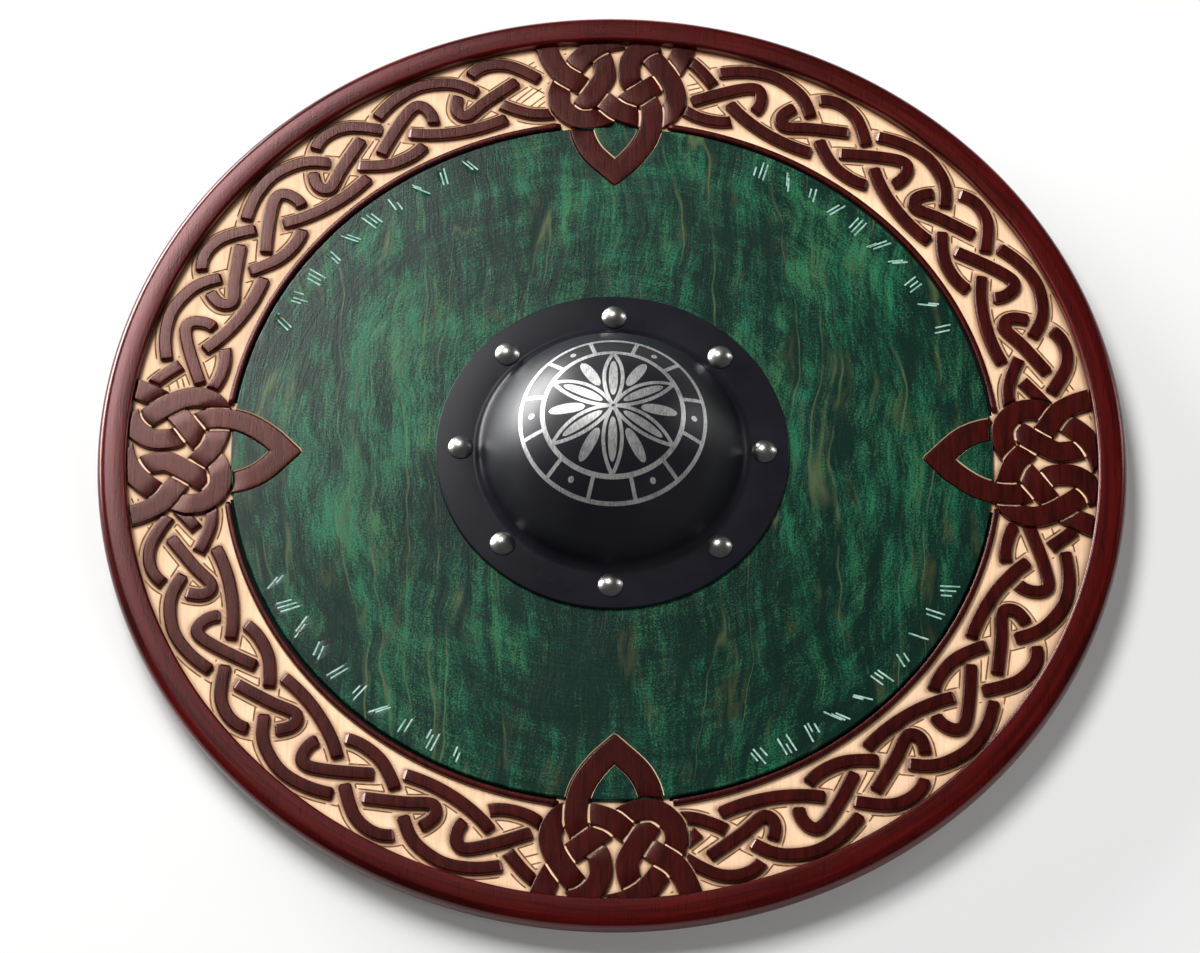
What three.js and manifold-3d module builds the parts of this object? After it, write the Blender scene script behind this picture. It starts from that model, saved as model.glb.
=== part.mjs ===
// Round wooden shield with a carved knotwork border, a steel boss and a wooden grip.
// Millimetres, +Z up. The shield lies face up on its grip, and the origin is on the
// surface below the middle of the boss.
import * as THREE from 'three';
import { mergeVertices } from 'three/addons/utils/BufferGeometryUtils.js';
import Module from 'manifold-3d';

const wasm = await Module();
wasm.setup();

// ---- driving dimensions ----
const gap = 0.3;               // clearance between pieces that touch
const shieldRadius = 300;
const rimWidth = 17;           // hoop, seen from the front
const rimStand = 3.5;          // hoop above the face of the board
const rimRebate = 7;           // how far the hoop laps over the board
const rimOuterRound = 5;
const rimInnerRound = 1.8;
const rimBackRound = 2;
const boardThickness = 8;
const carvingDepth = 3;        // background below the face of the board
const fieldRadius = 222;       // plain middle of the board
const fieldSlope = 0.6;        // lean of the step at its edge, either side
const beadRadii = [224, 227.5];
const handHoleRadius = 62;
const strapWidth = 7.4;        // border straps
const strapGap = 3.3;          // bare background left beside an over strap
const knotWidth = 12.8;        // straps of the four large knots
const knotGap = 1.4;           // V-cut between the straps of a large knot
const gripLength = 228;
const gripWidth = 36;
const gripThickness = 14;
const gripWaist = 30;          // width at its middle
const gripChamfer = 2.5;
const counterboreSide = 1.5;   // room round and above a rivet tail sunk in the grip
const counterboreDepth = 1.4;
const bossRadius = 103;
const bossSheet = 2;
const flangeRound = 0.8;
const domeRadius = 82;         // sphere of the dome
const domeApex = 56;           // above the face of the board
const domeFillet = 7;
const rivetCount = 8;
const rivetCircle = 88.5;
const rivetHeadRadius = 7.5;
const rivetHeadHeight = 4;
const rivetShank = 2.6;
const rivetTailRadius = 5;
const rivetTailHeight = 2.6;
const rivetTailTaper = 1.2;

// ---- levels ----
const backZ = gripThickness + gap;
const faceZ = backZ + boardThickness;
const groundZ = faceZ - carvingDepth;
const flangeTop = faceZ + gap + bossSheet;
const rimInner = shieldRadius - rimWidth;
const boardRadius = rimInner + rimRebate;

// ---- segment counts and tolerances ----
const ringSegments = 56;
const bossSegments = 32;
const rivetSegments = 8;
const strapTolerance = 0.85;   // largest bow left between outline points
const endBow = 0.4;
const pathStep = 0.5;
const crossingReach = 45;      // path steps looked at, either side of a crossing
const endSteps = 3;            // path steps from a strap's end to the next outline point
const footDepth = 1;           // straps and bead start this far inside the board

// ---- border design ----
// One closed loop, in mm along the border (clockwise) and outwards from its middle circle.
// Sixteen copies, each turned by a sixteenth, weave through one another.
const loopCount = 16;
const loopCircle = 255.9;
const loopRun = [
  [-35.3, 14.0], [-21, 19.3], [-7, 21.1], [6.2, 18.0], [15.5, 12.9], [24.6, 3.6],
  [34.4, -6.6], [42.1, -12.9], [53.4, -18.9], [66, -20.6], [76.7, -18.9], [85.3, -14.1],
  [91.3, -7.6], [93.1, -0.1], [90.8, 7.2], [85.3, 9.0], [73.3, 2.8], [53.4, -9.1],
  [45.4, -14.1], [36.8, -18.2], [22.9, -20], [9.6, -19.4], [-4.4, -16.4], [-17.7, -10.8],
  [-31, -1.6], [-47.6, 13], [-56.9, 19], [-67.5, 20.6], [-77.1, 17], [-87, 6.8],
  [-92.1, -1.6], [-91.4, -7.4], [-86.4, -9.2], [-72.8, -3.3], [-51.3, 5.9],
];
// The hand-laid border is a little out of step from quarter to quarter, in degrees.
const quarterTurns = [1.06, 1.92, 1.72, 1.12];

// A large knot has three strands, in mm clockwise of its axis and from the shield's middle.
// Each strand lies over the next one wherever they cross. The third has a pointed turn.
const knotTip = [-0.9, 190.4];
const knotStrands = [
  [[-47, 291], [-45.2, 284], [-42.8, 276.9], [-39.4, 268.8], [-33.5, 260.4], [-21.6, 252.4],
    [-7.8, 241.5], [0.6, 234.4], [11.9, 230.2], [20.5, 228.2], [27.5, 230.2], [33, 236],
    [35.3, 244], [33.1, 253.8], [26.9, 264.4], [20.6, 272.8], [14, 280], [8, 287]],
  [[8, 286.5], [2.5, 286], [-7.3, 283.3], [-16.4, 277.8], [-25.5, 267.4], [-34.6, 250.3],
    [-35.4, 241.9], [-33, 235.4], [-26.3, 229.3], [-18.1, 227.6], [-7.5, 230.8], [7.8, 242.3],
    [22.5, 253.5], [30.5, 260.6], [35.2, 267.8], [40, 278.5], [44, 288]],
];
const pointedStrand = [
  [[-20, 290], [-15, 282], [-9.8, 271.3], [-8, 263.1], [-8.5, 257.5], [-15.6, 244.8],
    [-20.4, 237.4], [-21.8, 228], [-21.3, 219.8], [-18.5, 211], [-13.1, 202.3], knotTip],
  [knotTip, [8.1, 199.4], [16.3, 211.3], [20.3, 223.1], [20.9, 234.4], [19, 240.9],
    [15, 248.8], [8.5, 254.6], [6.9, 262.5], [7.5, 269.4], [11.3, 276], [17.5, 281.3],
    [25, 283.8]],
];
const knotTurns = [-0.8, 0, 0.6, 0.8];     // hand-laid, in degrees, for 0, 90, 180 and 270
const knotHalfSpan = 30;                   // border straps end outside this, either side
const mitreLap = 0.3;                      // the two arms of the point run into each other
const tipZone = 5;                         // an arm that comes this near the tip is mitred
const mitreZone = 20;
const mitreRun = 40;                       // path steps that an arm runs on past the tip
const rimZone = 9;                         // strands meet beside the hoop
const shortestStrap = 8;
const pocketTop = 238;
const pocketDepth = 1.8;
const beadEnds = [8.6, 7.8];               // the bead stops short of a knot, in degrees

const radians = THREE.MathUtils.degToRad;

// ---- solids ----

function toSolid(geometry) {
  const bare = geometry.clone();
  bare.deleteAttribute('normal');
  bare.deleteAttribute('uv');
  const merged = mergeVertices(bare, 1e-4);
  return new wasm.Manifold(new wasm.Mesh({
    numProp: 3,
    vertProperties: new Float32Array(merged.attributes.position.array),
    triVerts: new Uint32Array(merged.index.array),
  }));
}

function toGeometry(solid) {
  const { vertProperties, triVerts } = solid.getMesh();
  const geometry = new THREE.BufferGeometry();
  geometry.setAttribute('position', new THREE.BufferAttribute(vertProperties, 3));
  geometry.setIndex(new THREE.BufferAttribute(triVerts, 1));
  geometry.computeVertexNormals();
  return geometry;
}

// A turned piece: profile points are [radius, height], anticlockwise round the section.
function turned(profile, segments) {
  const points = profile.map(([radius, height]) => new THREE.Vector2(radius, height));
  const onAxis = profile[0][0] === 0;
  if (!onAxis) points.push(points[0].clone());
  return new THREE.LatheGeometry(points, segments).rotateX(Math.PI / 2);
}

// Points on an arc of a section, from one angle to another, in degrees.
function arc(centre, radius, from, to, count) {
  return Array.from({ length: count }, (_, i) => {
    const angle = radians(from + (to - from) * i / (count - 1));
    return [centre[0] + radius * Math.cos(angle), centre[1] + radius * Math.sin(angle)];
  });
}

function prism(outline, zLow, zHigh) {
  return new THREE.ExtrudeGeometry(new THREE.Shape(outline), {
    depth: zHigh - zLow, bevelEnabled: false,
  }).translate(0, 0, zLow);
}

// ---- straps ----

function spaced(points, closed) {
  const flat = points.map(([x, y]) => new THREE.Vector3(x, y, 0));
  const curve = new THREE.CatmullRomCurve3(flat, closed, 'catmullrom', 0.5);
  curve.arcLengthDivisions = points.length * 24;
  const count = Math.round(curve.getLength() / pathStep);
  const list = curve.getSpacedPoints(count).map((p) => new THREE.Vector2(p.x, p.y));
  if (closed) list.pop();
  return list;
}

function turn(points, angle) {
  const middle = new THREE.Vector2();
  return points.map((p) => p.clone().rotateAround(middle, angle));
}

function distanceTo(line, point) {
  return Math.sqrt(line.reduce((least, p) => Math.min(least, p.distanceToSquared(point)), Infinity));
}

// Where two paths cross, as positions along each of them.
function crossings(first, second, closed) {
  const found = [];
  const same = first === second;
  const last = closed ? 0 : 1;
  for (let i = 0; i < first.length - last; i += 1) {
    const a = first[i];
    const r = first[(i + 1) % first.length].clone().sub(a);
    for (let j = same ? i + 3 : 0; j < second.length - last; j += 1) {
      const b = second[j];
      if (a.distanceTo(b) > 4 * pathStep) continue;
      if (same && first.length - j + i < 3) continue;
      const s = second[(j + 1) % second.length].clone().sub(b);
      const across = b.clone().sub(a);
      const area = r.cross(s);
      const t = across.cross(s) / area;
      const u = across.cross(r) / area;
      if (t >= 0 && t < 1 && u >= 0 && u < 1) {
        found.push([i + t, j + u]);
        if (same) found.push([j + u, i + t]);
      }
    }
  }
  return found;
}

// The stretch of a path around one crossing.
function near(line, at, closed) {
  const middle = Math.round(at);
  const picked = [];
  for (let i = middle - crossingReach; i <= middle + crossingReach; i += 1) {
    if (closed) picked.push(line[(i + line.length) % line.length]);
    else if (i >= 0 && i < line.length) picked.push(line[i]);
  }
  return picked;
}

// A strap is a stretch of a path with its width. Its two edges and its middle start and
// end at places of their own, so an end can follow the edge of the strap that covers it.
const sides = [-1, 0, 1];

function edgePoint(strap, i, side, extra = 0) {
  const before = strap.path[Math.max(i - 1, 0)];
  const after = strap.path[Math.min(i + 1, strap.path.length - 1)];
  const along = after.clone().sub(before).normalize();
  const out = new THREE.Vector2(-along.y, along.x);
  return strap.path[i].clone().addScaledVector(out, side * (strap.half + extra));
}

function trimmed(strap, blocked) {
  const from = [];
  const to = [];
  for (const [k, side] of sides.entries()) {
    let best = [0, -1];
    let start = -1;
    for (let i = strap.from[k]; i <= strap.to[k] + 1; i += 1) {
      const free = i <= strap.to[k] && !blocked(edgePoint(strap, i, side), i);
      if (free && start < 0) start = i;
      if (!free && start >= 0) {
        if (i - 1 - start > best[1] - best[0]) best = [start, i - 1];
        start = -1;
      }
    }
    if (best[1] < best[0]) return null;
    from.push(best[0]);
    to.push(best[1]);
  }
  return { ...strap, from, to };
}

// Cuts a path where it passes under others. cuts holds [position, covering stretch].
function cutStraps(path, closed, cuts, width, clearance, squareEnds) {
  const half = width / 2;
  const order = [...cuts].sort((a, b) => a[0] - b[0]);
  const spans = [];
  if (closed) {
    order.forEach((cut, k) => {
      const next = order[(k + 1) % order.length];
      const wrap = k === order.length - 1 ? path.length : 0;
      spans.push([cut[0], next[0] + wrap, [cut[1], next[1]]]);
    });
  } else {
    const ends = [[0, null], ...order, [path.length - 1, null]];
    for (let k = 0; k + 1 < ends.length; k += 1) {
      spans.push([ends[k][0], ends[k + 1][0], [ends[k][1], ends[k + 1][1]]]);
    }
  }
  return spans.map(([a, b, covers]) => {
    const stretch = [];
    for (let i = Math.ceil(a); i <= Math.floor(b); i += 1) stretch.push(path[i % path.length]);
    const last = stretch.length - 1;
    const whole = { path: stretch, half };
    const isCovered = (cover, i, side) => cover
      && distanceTo(cover, edgePoint(whole, i, squareEnds ? 0 : side)) < clearance;
    const firstFree = (cover, start, step, side) => {
      let i = start;
      while (i > 0 - step && i < last - step && isCovered(cover, i, side)) i += step;
      return i;
    };
    const from = sides.map((side) => firstFree(covers[0], 0, 1, side));
    const to = sides.map((side) => firstFree(covers[1], last, -1, side));
    return { ...whole, from, to };
  });
}

// Fewest positions along a path that keep within the tolerance.
function keyPositions(path, from, to) {
  const chord = path[to].clone().sub(path[from]);
  let worst = 0;
  let at = -1;
  for (let i = from + 1; i < to; i += 1) {
    const away = Math.abs(path[i].clone().sub(path[from]).cross(chord)) / chord.length();
    if (away > worst) {
      worst = away;
      at = i;
    }
  }
  if (worst < strapTolerance) return [from, to];
  return [...keyPositions(path, from, at).slice(0, -1), ...keyPositions(path, at, to)];
}

function strapOutline(strap) {
  const low = Math.min(...strap.from);
  const high = Math.max(...strap.to);
  const keys = keyPositions(strap.path, low, high);
  const edge = (k) => {
    const inner = keys.filter((i) => i > strap.from[k] + endSteps && i < strap.to[k] - endSteps);
    return [strap.from[k], ...inner, strap.to[k]].map((i) => edgePoint(strap, i, sides[k]));
  };
  // an end that follows a curved cover needs its middle point too
  const endMiddle = (positions) => {
    const [a, m, b] = positions.map((i, k) => edgePoint(strap, i, sides[k]));
    const bow = Math.abs(m.clone().sub(a).cross(b.clone().sub(a))) / a.distanceTo(b);
    return bow > endBow ? [m] : [];
  };
  return [...edge(0), ...endMiddle(strap.to), ...edge(2).reverse(), ...endMiddle(strap.from)];
}

function strapSolid(strap) {
  return toSolid(prism(strapOutline(strap), groundZ - footDepth, faceZ));
}

// ---- large knots ----

function knotFrame(points, k) {
  // knot coordinates (clockwise, outwards) to the shield's own, for the knot at k quarter turns
  const axis = radians(90 * k + knotTurns[k]);
  return points.map((p) => new THREE.Vector2(p.y, -p.x).rotateAround(new THREE.Vector2(), axis));
}

function reachesTip(strap) {
  return strap.path.some((p) => p.y < knotTip[1] + tipZone);
}

function knotDesign() {
  const half = knotWidth / 2;
  const clearance = half + knotGap;
  const [first, second] = knotStrands.map((points) => spaced(points, false));
  const [down, up] = pointedStrand.map((points) => spaced(points, false));
  const runOn = (line, atEnd) => {
    // a straight run past the tip, so that the two arms can be mitred there
    const tip = atEnd ? line.at(-1) : line[0];
    const before = atEnd ? line.at(-8) : line[7];
    const along = tip.clone().sub(before).normalize().multiplyScalar(pathStep);
    const extra = Array.from({ length: mitreRun }, (_, i) => (
      tip.clone().addScaledVector(along, i + 1)));
    return atEnd ? [...line, ...extra] : [...extra.reverse(), ...line];
  };
  const arms = [runOn(down, true), runOn(up, false)];
  const cutsOf = (line, overs) => overs.flatMap((over) => (
    crossings(line, over, false).map(([i, j]) => [i, near(over, j, false)])));
  const inside = (strap) => trimmed(strap, (p) => p.length() > rimInner - 2 * gap);
  const besideRim = (p) => p.y > rimInner - rimZone && distanceTo(up, p) < clearance;
  const straps = [
    ...cutStraps(first, false, cutsOf(first, [down, up]), knotWidth, clearance, false),
    ...cutStraps(second, false, cutsOf(second, [first]), knotWidth, clearance, false)
      .map((strap) => trimmed(strap, besideRim)),
  ];
  arms.forEach((arm, k) => {
    const beyondMitre = (p) => (k === 0 ? p.x > knotTip[0] + mitreLap : p.x < knotTip[0] - mitreLap);
    for (const strap of cutStraps(arm, false, cutsOf(arm, [second]), knotWidth, clearance, false)) {
      const beyond = (p) => p.y < knotTip[1] + mitreZone && beyondMitre(p);
      straps.push(reachesTip(strap) ? trimmed(strap, beyond) : strap);
    }
  });
  return {
    straps: straps.filter(Boolean).map(inside).filter(Boolean),
    strands: [first, second, down, up],
  };
}

// ---- border ----

function borderStraps(knot) {
  const quarter = Math.PI / 2;
  const onCircle = loopRun.map(([along, out]) => {
    const angle = -along / loopCircle;
    const radius = loopCircle + out;
    return [radius * Math.cos(angle), radius * Math.sin(angle)];
  });
  const loop = spaced(onCircle, true);
  const pitch = 2 * Math.PI / loopCount;
  const passes = [-2, -1, 0, 1, 2].flatMap((k) => {
    const other = k === 0 ? loop : turn(loop, k * pitch);
    return crossings(loop, other, true).map(([i, j]) => [i, near(other, j, true)]);
  });
  passes.sort((a, b) => a[0] - b[0]);
  const under = passes.filter((_, k) => k % 2 === 1);    // over and under by turns
  const clearance = strapWidth / 2 + strapGap;
  const pattern = cutStraps(loop, true, under, strapWidth, clearance, true);

  // each quarter, between two large knots, takes the loops that reach into it
  const strandPoints = knot.strands.flat().filter((_, i) => i % 2 === 0);
  const straps = [];
  for (let q = 0; q < 4; q += 1) {
    const bounds = [[q, -1], [(q + 1) % 4, 1]].map(([k, side]) => {
      const axis = radians(90 * k + knotTurns[k]);
      return (point) => {
        const local = point.clone().rotateAround(new THREE.Vector2(), -axis);
        const across = -local.y * side;
        if (local.x < 0) return false;
        if (across < knotHalfSpan) return true;
        if (across > 3 * knotHalfSpan) return false;
        const inKnot = new THREE.Vector2(-local.y, local.x);
        return distanceTo(strandPoints, inKnot) < knotWidth / 2 + knotGap;
      };
    });
    for (let k = -3; k <= 3; k += 1) {
      const angle = (q + 0.5) * quarter + radians(quarterTurns[q]) + k * pitch;
      for (const strap of pattern) {
        let piece = { ...strap, path: turn(strap.path, angle) };
        for (const bound of bounds) piece = piece && trimmed(piece, bound);
        if (!piece) continue;
        const length = Math.min(...sides.map((_, i) => piece.to[i] - piece.from[i])) * pathStep;
        if (length > shortestStrap) straps.push(piece);
      }
    }
  }
  return straps;
}

// The bead round the plain field, in four lengths between the large knots.
function beadSolids() {
  const [inner, outer] = beadRadii;
  const crown = 0.5;
  const section = [
    [inner, groundZ - footDepth], [outer, groundZ - footDepth],
    [outer - crown, faceZ], [inner + crown, faceZ],
  ];
  return knotTurns.map((_, k) => {
    const next = (k + 1) % 4;
    const from = radians(90 * k + knotTurns[k] + beadEnds[0]);
    const to = radians(90 * (k + 1) + knotTurns[next] - beadEnds[1]);
    const steps = Math.round((to - from) / (2 * Math.PI / ringSegments));
    const count = section.length;
    const position = [];
    const index = [];
    for (let s = 0; s <= steps; s += 1) {
      const angle = from + (to - from) * s / steps;
      for (const [r, z] of section) position.push(r * Math.cos(angle), r * Math.sin(angle), z);
    }
    for (let s = 0; s < steps; s += 1) {
      for (let i = 0; i < count; i += 1) {
        const a = s * count + i;
        const b = s * count + (i + 1) % count;
        index.push(a, a + count, b + count, a, b + count, b);
      }
    }
    const end = steps * count;
    for (let i = 1; i + 1 < count; i += 1) index.push(0, i, i + 1, end, end + i + 1, end + i);
    const geometry = new THREE.BufferGeometry();
    geometry.setAttribute('position', new THREE.Float32BufferAttribute(position, 3));
    geometry.setIndex(index);
    return toSolid(geometry);
  });
}

// ---- pieces ----

const rivetAngles = Array.from({ length: rivetCount }, (_, k) => k * 2 * Math.PI / rivetCount);

function hole(angle, radius, zLow, zHigh) {
  return toSolid(new THREE.CylinderGeometry(radius, radius, zHigh - zLow, rivetSegments)
    .rotateX(Math.PI / 2)
    .translate(rivetCircle * Math.cos(angle), rivetCircle * Math.sin(angle), (zLow + zHigh) / 2));
}

function boardGeometry() {
  let solid = toSolid(turned([
    [handHoleRadius, backZ], [boardRadius, backZ], [boardRadius, groundZ],
    [fieldRadius + fieldSlope, groundZ], [fieldRadius - fieldSlope, faceZ],
    [handHoleRadius, faceZ],
  ], ringSegments));
  const knot = knotDesign();
  // the field is let down round and inside the pointed turn of each knot
  const [left, right] = knot.straps.filter(reachesTip);
  const outer = (strap, side) => keyPositions(strap.path, strap.from[1], strap.to[1])
    .map((i) => edgePoint(strap, i, side, knotGap)).filter((p) => p.y < pocketTop);
  const pocket = [...outer(left, -1).filter((p) => p.x < knotTip[0]),
    ...outer(right, -1).filter((p) => p.x > knotTip[0])];
  for (let k = 0; k < 4; k += 1) {
    const placed = knotFrame(pocket, k);
    solid = solid.subtract(toSolid(prism(placed, faceZ - pocketDepth, faceZ + 1)));
  }
  for (const bead of beadSolids()) solid = solid.add(bead);
  for (let k = 0; k < 4; k += 1) {
    for (const strap of knot.straps) {
      solid = solid.add(strapSolid({ ...strap, path: knotFrame(strap.path, k) }));
    }
  }
  for (const strap of borderStraps(knot)) solid = solid.add(strapSolid(strap));
  for (const angle of rivetAngles) {
    solid = solid.subtract(hole(angle, rivetShank + gap, backZ - 1, faceZ + 1));
  }
  return toGeometry(solid);
}

function rimGeometry() {
  const top = faceZ + rimStand;
  const profile = [
    [boardRadius + gap, backZ],
    [shieldRadius - rimBackRound, backZ],
    [shieldRadius, backZ + rimBackRound],
    ...arc([shieldRadius - rimOuterRound, top - rimOuterRound], rimOuterRound, 0, 90, 3),
    [rimInner + rimInnerRound, top],
    [rimInner, top - rimInnerRound],
    [rimInner, groundZ + gap],
    [boardRadius + gap, groundZ + gap],
  ];
  return turned(profile, ringSegments);
}

function bossGeometry() {
  const centreZ = faceZ + domeApex - domeRadius;
  const low = faceZ + gap;
  const filletZ = flangeTop + domeFillet;
  const filletR = Math.sqrt((domeRadius + domeFillet) ** 2 - (filletZ - centreZ) ** 2);
  const lean = THREE.MathUtils.radToDeg(Math.atan2(filletZ - centreZ, filletR));
  const shell = (thickness, domePoints, filletPoints) => [
    ...arc([filletR, filletZ], domeFillet + thickness, 270, 180 + lean, filletPoints),
    ...arc([0, centreZ], domeRadius - thickness, lean, 90, domePoints).slice(1),
  ];
  const outer = shell(0, 7, 3);
  const inner = shell(bossSheet, 5, 2);
  outer.at(-1)[0] = 0;
  inner.at(-1)[0] = 0;
  const profile = [
    ...inner.reverse(),
    [bossRadius, low],
    [bossRadius, flangeTop - flangeRound],
    [bossRadius - flangeRound, flangeTop],
    ...outer,
  ];
  let solid = toSolid(turned(profile, bossSegments));
  for (const angle of rivetAngles) {
    solid = solid.subtract(hole(angle, rivetShank + gap, low - 1, flangeTop + 1));
  }
  return toGeometry(solid);
}

function rivetGeometry(tailTop) {
  const seat = flangeTop + gap;
  const sphere = (rivetHeadRadius ** 2 + rivetHeadHeight ** 2) / (2 * rivetHeadHeight);
  const centre = seat + rivetHeadHeight - sphere;
  const edge = THREE.MathUtils.radToDeg(Math.asin((seat - centre) / sphere));
  const head = arc([0, centre], sphere, edge, 90, 3);
  head.at(-1)[0] = 0;
  const tailLow = tailTop - rivetTailHeight;
  return turned([
    [0, tailLow], [rivetTailRadius - rivetTailTaper, tailLow], [rivetTailRadius, tailTop],
    [rivetShank, tailTop], [rivetShank, seat], ...head,
  ], rivetSegments);
}

function gripGeometry() {
  const half = gripLength / 2;
  const endRadius = gripWidth / 2;
  const bow = gripWaist - endRadius;     // control point of a side that bows in to the waist
  const shape = new THREE.Shape();
  shape.moveTo(-half + endRadius, -endRadius);
  shape.quadraticCurveTo(0, -bow, half - endRadius, -endRadius);
  shape.absarc(half - endRadius, 0, endRadius, -Math.PI / 2, Math.PI / 2, false);
  shape.quadraticCurveTo(0, bow, -half + endRadius, endRadius);
  shape.absarc(-half + endRadius, 0, endRadius, Math.PI / 2, 1.5 * Math.PI, false);
  const bar = new THREE.ExtrudeGeometry(shape, {
    depth: gripThickness - 2 * gripChamfer,
    bevelThickness: gripChamfer,
    bevelSize: gripChamfer,
    bevelOffset: -gripChamfer,
    bevelSegments: 1,
    curveSegments: 4,
  }).translate(0, 0, gripChamfer);
  let solid = toSolid(bar);
  for (const angle of [0, Math.PI]) {
    solid = solid.subtract(hole(angle, rivetShank + gap, -1, gripThickness + 1));
    const boreTop = rivetTailHeight + counterboreDepth;
    solid = solid.subtract(hole(angle, rivetTailRadius + counterboreSide, -1, boreTop));
  }
  return toGeometry(solid);
}

// ---- materials ----

const stainedWood = new THREE.MeshStandardMaterial({ color: 0x5a1d1b, roughness: 0.45, metalness: 0 });
const carvedBoard = new THREE.MeshStandardMaterial({ color: 0x1f5b47, roughness: 0.5, metalness: 0 });
const plainWood = new THREE.MeshStandardMaterial({ color: 0xb98a5c, roughness: 0.6, metalness: 0 });
const blackSteel = new THREE.MeshStandardMaterial({ color: 0x15161a, roughness: 0.4, metalness: 0.6 });
const nickel = new THREE.MeshStandardMaterial({ color: 0xc9c7c2, roughness: 0.2, metalness: 1 });

// ---- the shield ----

const shield = new THREE.Group();

function place(name, geometry, material) {
  const mesh = new THREE.Mesh(geometry, material);
  mesh.name = name;
  shield.add(mesh);
}

place('board', boardGeometry(), carvedBoard);
place('rim', rimGeometry(), stainedWood);
place('boss', bossGeometry(), blackSteel);
place('grip', gripGeometry(), plainWood);
rivetAngles.forEach((angle, k) => {
  const throughGrip = Math.abs(Math.sin(angle)) < 0.01;
  const tailTop = (throughGrip ? rivetTailHeight + counterboreDepth : backZ) - gap;
  const rivet = rivetGeometry(tailTop)
    .translate(rivetCircle * Math.cos(angle), rivetCircle * Math.sin(angle), 0);
  place(`rivet_${k + 1}`, rivet, nickel);
});

export default shield;
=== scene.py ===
import math
import bpy
import bmesh
import numpy as np
from mathutils import Matrix, Vector
from mathutils.kdtree import KDTree


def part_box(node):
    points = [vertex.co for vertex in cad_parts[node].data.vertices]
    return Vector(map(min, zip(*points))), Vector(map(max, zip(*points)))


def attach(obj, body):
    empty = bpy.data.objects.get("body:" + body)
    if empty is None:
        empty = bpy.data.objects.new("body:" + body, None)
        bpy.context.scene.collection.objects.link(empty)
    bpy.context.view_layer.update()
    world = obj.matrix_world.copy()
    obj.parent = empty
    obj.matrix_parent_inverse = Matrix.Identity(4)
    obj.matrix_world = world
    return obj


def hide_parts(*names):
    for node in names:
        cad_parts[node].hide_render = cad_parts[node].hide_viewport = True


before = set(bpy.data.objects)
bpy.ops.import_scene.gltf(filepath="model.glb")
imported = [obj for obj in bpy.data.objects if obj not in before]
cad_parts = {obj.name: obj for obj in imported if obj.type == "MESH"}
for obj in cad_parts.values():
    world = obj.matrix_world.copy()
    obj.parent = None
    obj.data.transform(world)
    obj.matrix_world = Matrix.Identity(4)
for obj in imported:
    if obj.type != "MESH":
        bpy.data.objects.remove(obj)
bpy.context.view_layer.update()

mm = 0.001                                   # the design below is in millimetres
rng = np.random.default_rng(7)


def boxOf(node):
    low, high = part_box(node)
    return np.array(low) / mm, np.array(high) / mm


boardLow, boardHigh = boxOf("board")
rimHigh = boxOf("rim")[1]
bossLow, bossHigh = boxOf("boss")
gripLow, gripHigh = boxOf("grip")
rivetLow, rivetHigh = boxOf("rivet_3")       # a plain rivet
gripRivetLow, gripRivetHigh = boxOf("rivet_1")   # one that also holds the grip

# levels and radii that the pieces share
backZ = boardLow[2]
faceZ = boardHigh[2]
groundZ = faceZ - 3.0                        # carved background
footZ = groundZ - 0.5                        # where the straps start, a little into the background
fieldRadius = 222.0
rimInner = rimHigh[0] - 17.0
boardRadius = boardHigh[0]
rivetCircle = (gripRivetLow[0] + gripRivetHigh[0]) / 2
print("frame read: shield", round(rimHigh[0] * 2), "mm across")


def inScene(name, data):
    piece = bpy.data.objects.new(name, data)
    bpy.context.scene.collection.objects.link(piece)
    return piece


def smoothShade(mesh, sharpAngle):
    mesh.shade_smooth()
    mesh.set_sharp_from_angle(angle=math.radians(sharpAngle))


def meshPiece(name, points, faces, materials):
    mesh = bpy.data.meshes.new(name)
    mesh.from_pydata((np.asarray(points, float) * mm).tolist(), [], faces)
    for material in materials:
        mesh.materials.append(material)
    mesh.validate()
    return inScene(name, mesh)


def linesPiece(name, lines, closed=False):
    # a wire mesh, one chain of edges for each line of points
    points, edges = [], []
    for line in lines:
        first = len(points)
        points += [tuple(p * mm for p in point) for point in line]
        edges += [(first + i, first + i + 1) for i in range(len(line) - 1)]
        if closed:
            edges.append((len(points) - 1, first))
    mesh = bpy.data.meshes.new(name)
    mesh.from_pydata(points, edges, [])
    return inScene(name, mesh)


def turnedPiece(name, profile, segments, materials):
    # profile points are (radius, height) and close on themselves, or start and end on the axis
    onAxis = profile[0][0] == 0
    angles = np.arange(segments) * 2 * math.pi / segments
    count = len(profile)
    points = [(r * math.cos(a), r * math.sin(a), z) for a in angles for r, z in profile]
    faces = []
    for s in range(segments):
        here, there = s * count, (s + 1) % segments * count
        for i in range(count - 1 if onAxis else count):
            j = (i + 1) % count
            faces.append((here + i, there + i, there + j, here + j))
    piece = meshPiece(name, points, faces, materials)
    mend(piece.data)
    return piece


def mend(mesh, sharpAngle=32, outwards=True):
    # merge what coincides, drop what has no area, and face outwards
    work = bmesh.new()
    work.from_mesh(mesh)
    bmesh.ops.remove_doubles(work, verts=work.verts, dist=1e-6)
    bmesh.ops.dissolve_degenerate(work, dist=1e-7, edges=work.edges)
    if outwards:
        bmesh.ops.recalc_face_normals(work, faces=work.faces)
    work.to_mesh(mesh)
    work.free()
    smoothShade(mesh, sharpAngle)


def evaluated(piece):
    # the piece's mesh with its modifiers worked in, which then go
    bpy.context.view_layer.update()
    depsgraph = bpy.context.evaluated_depsgraph_get()
    mesh = bpy.data.meshes.new_from_object(piece.evaluated_get(depsgraph), depsgraph=depsgraph)
    mesh.name = piece.name
    piece.modifiers.clear()
    piece.data = mesh
    return piece


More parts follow.
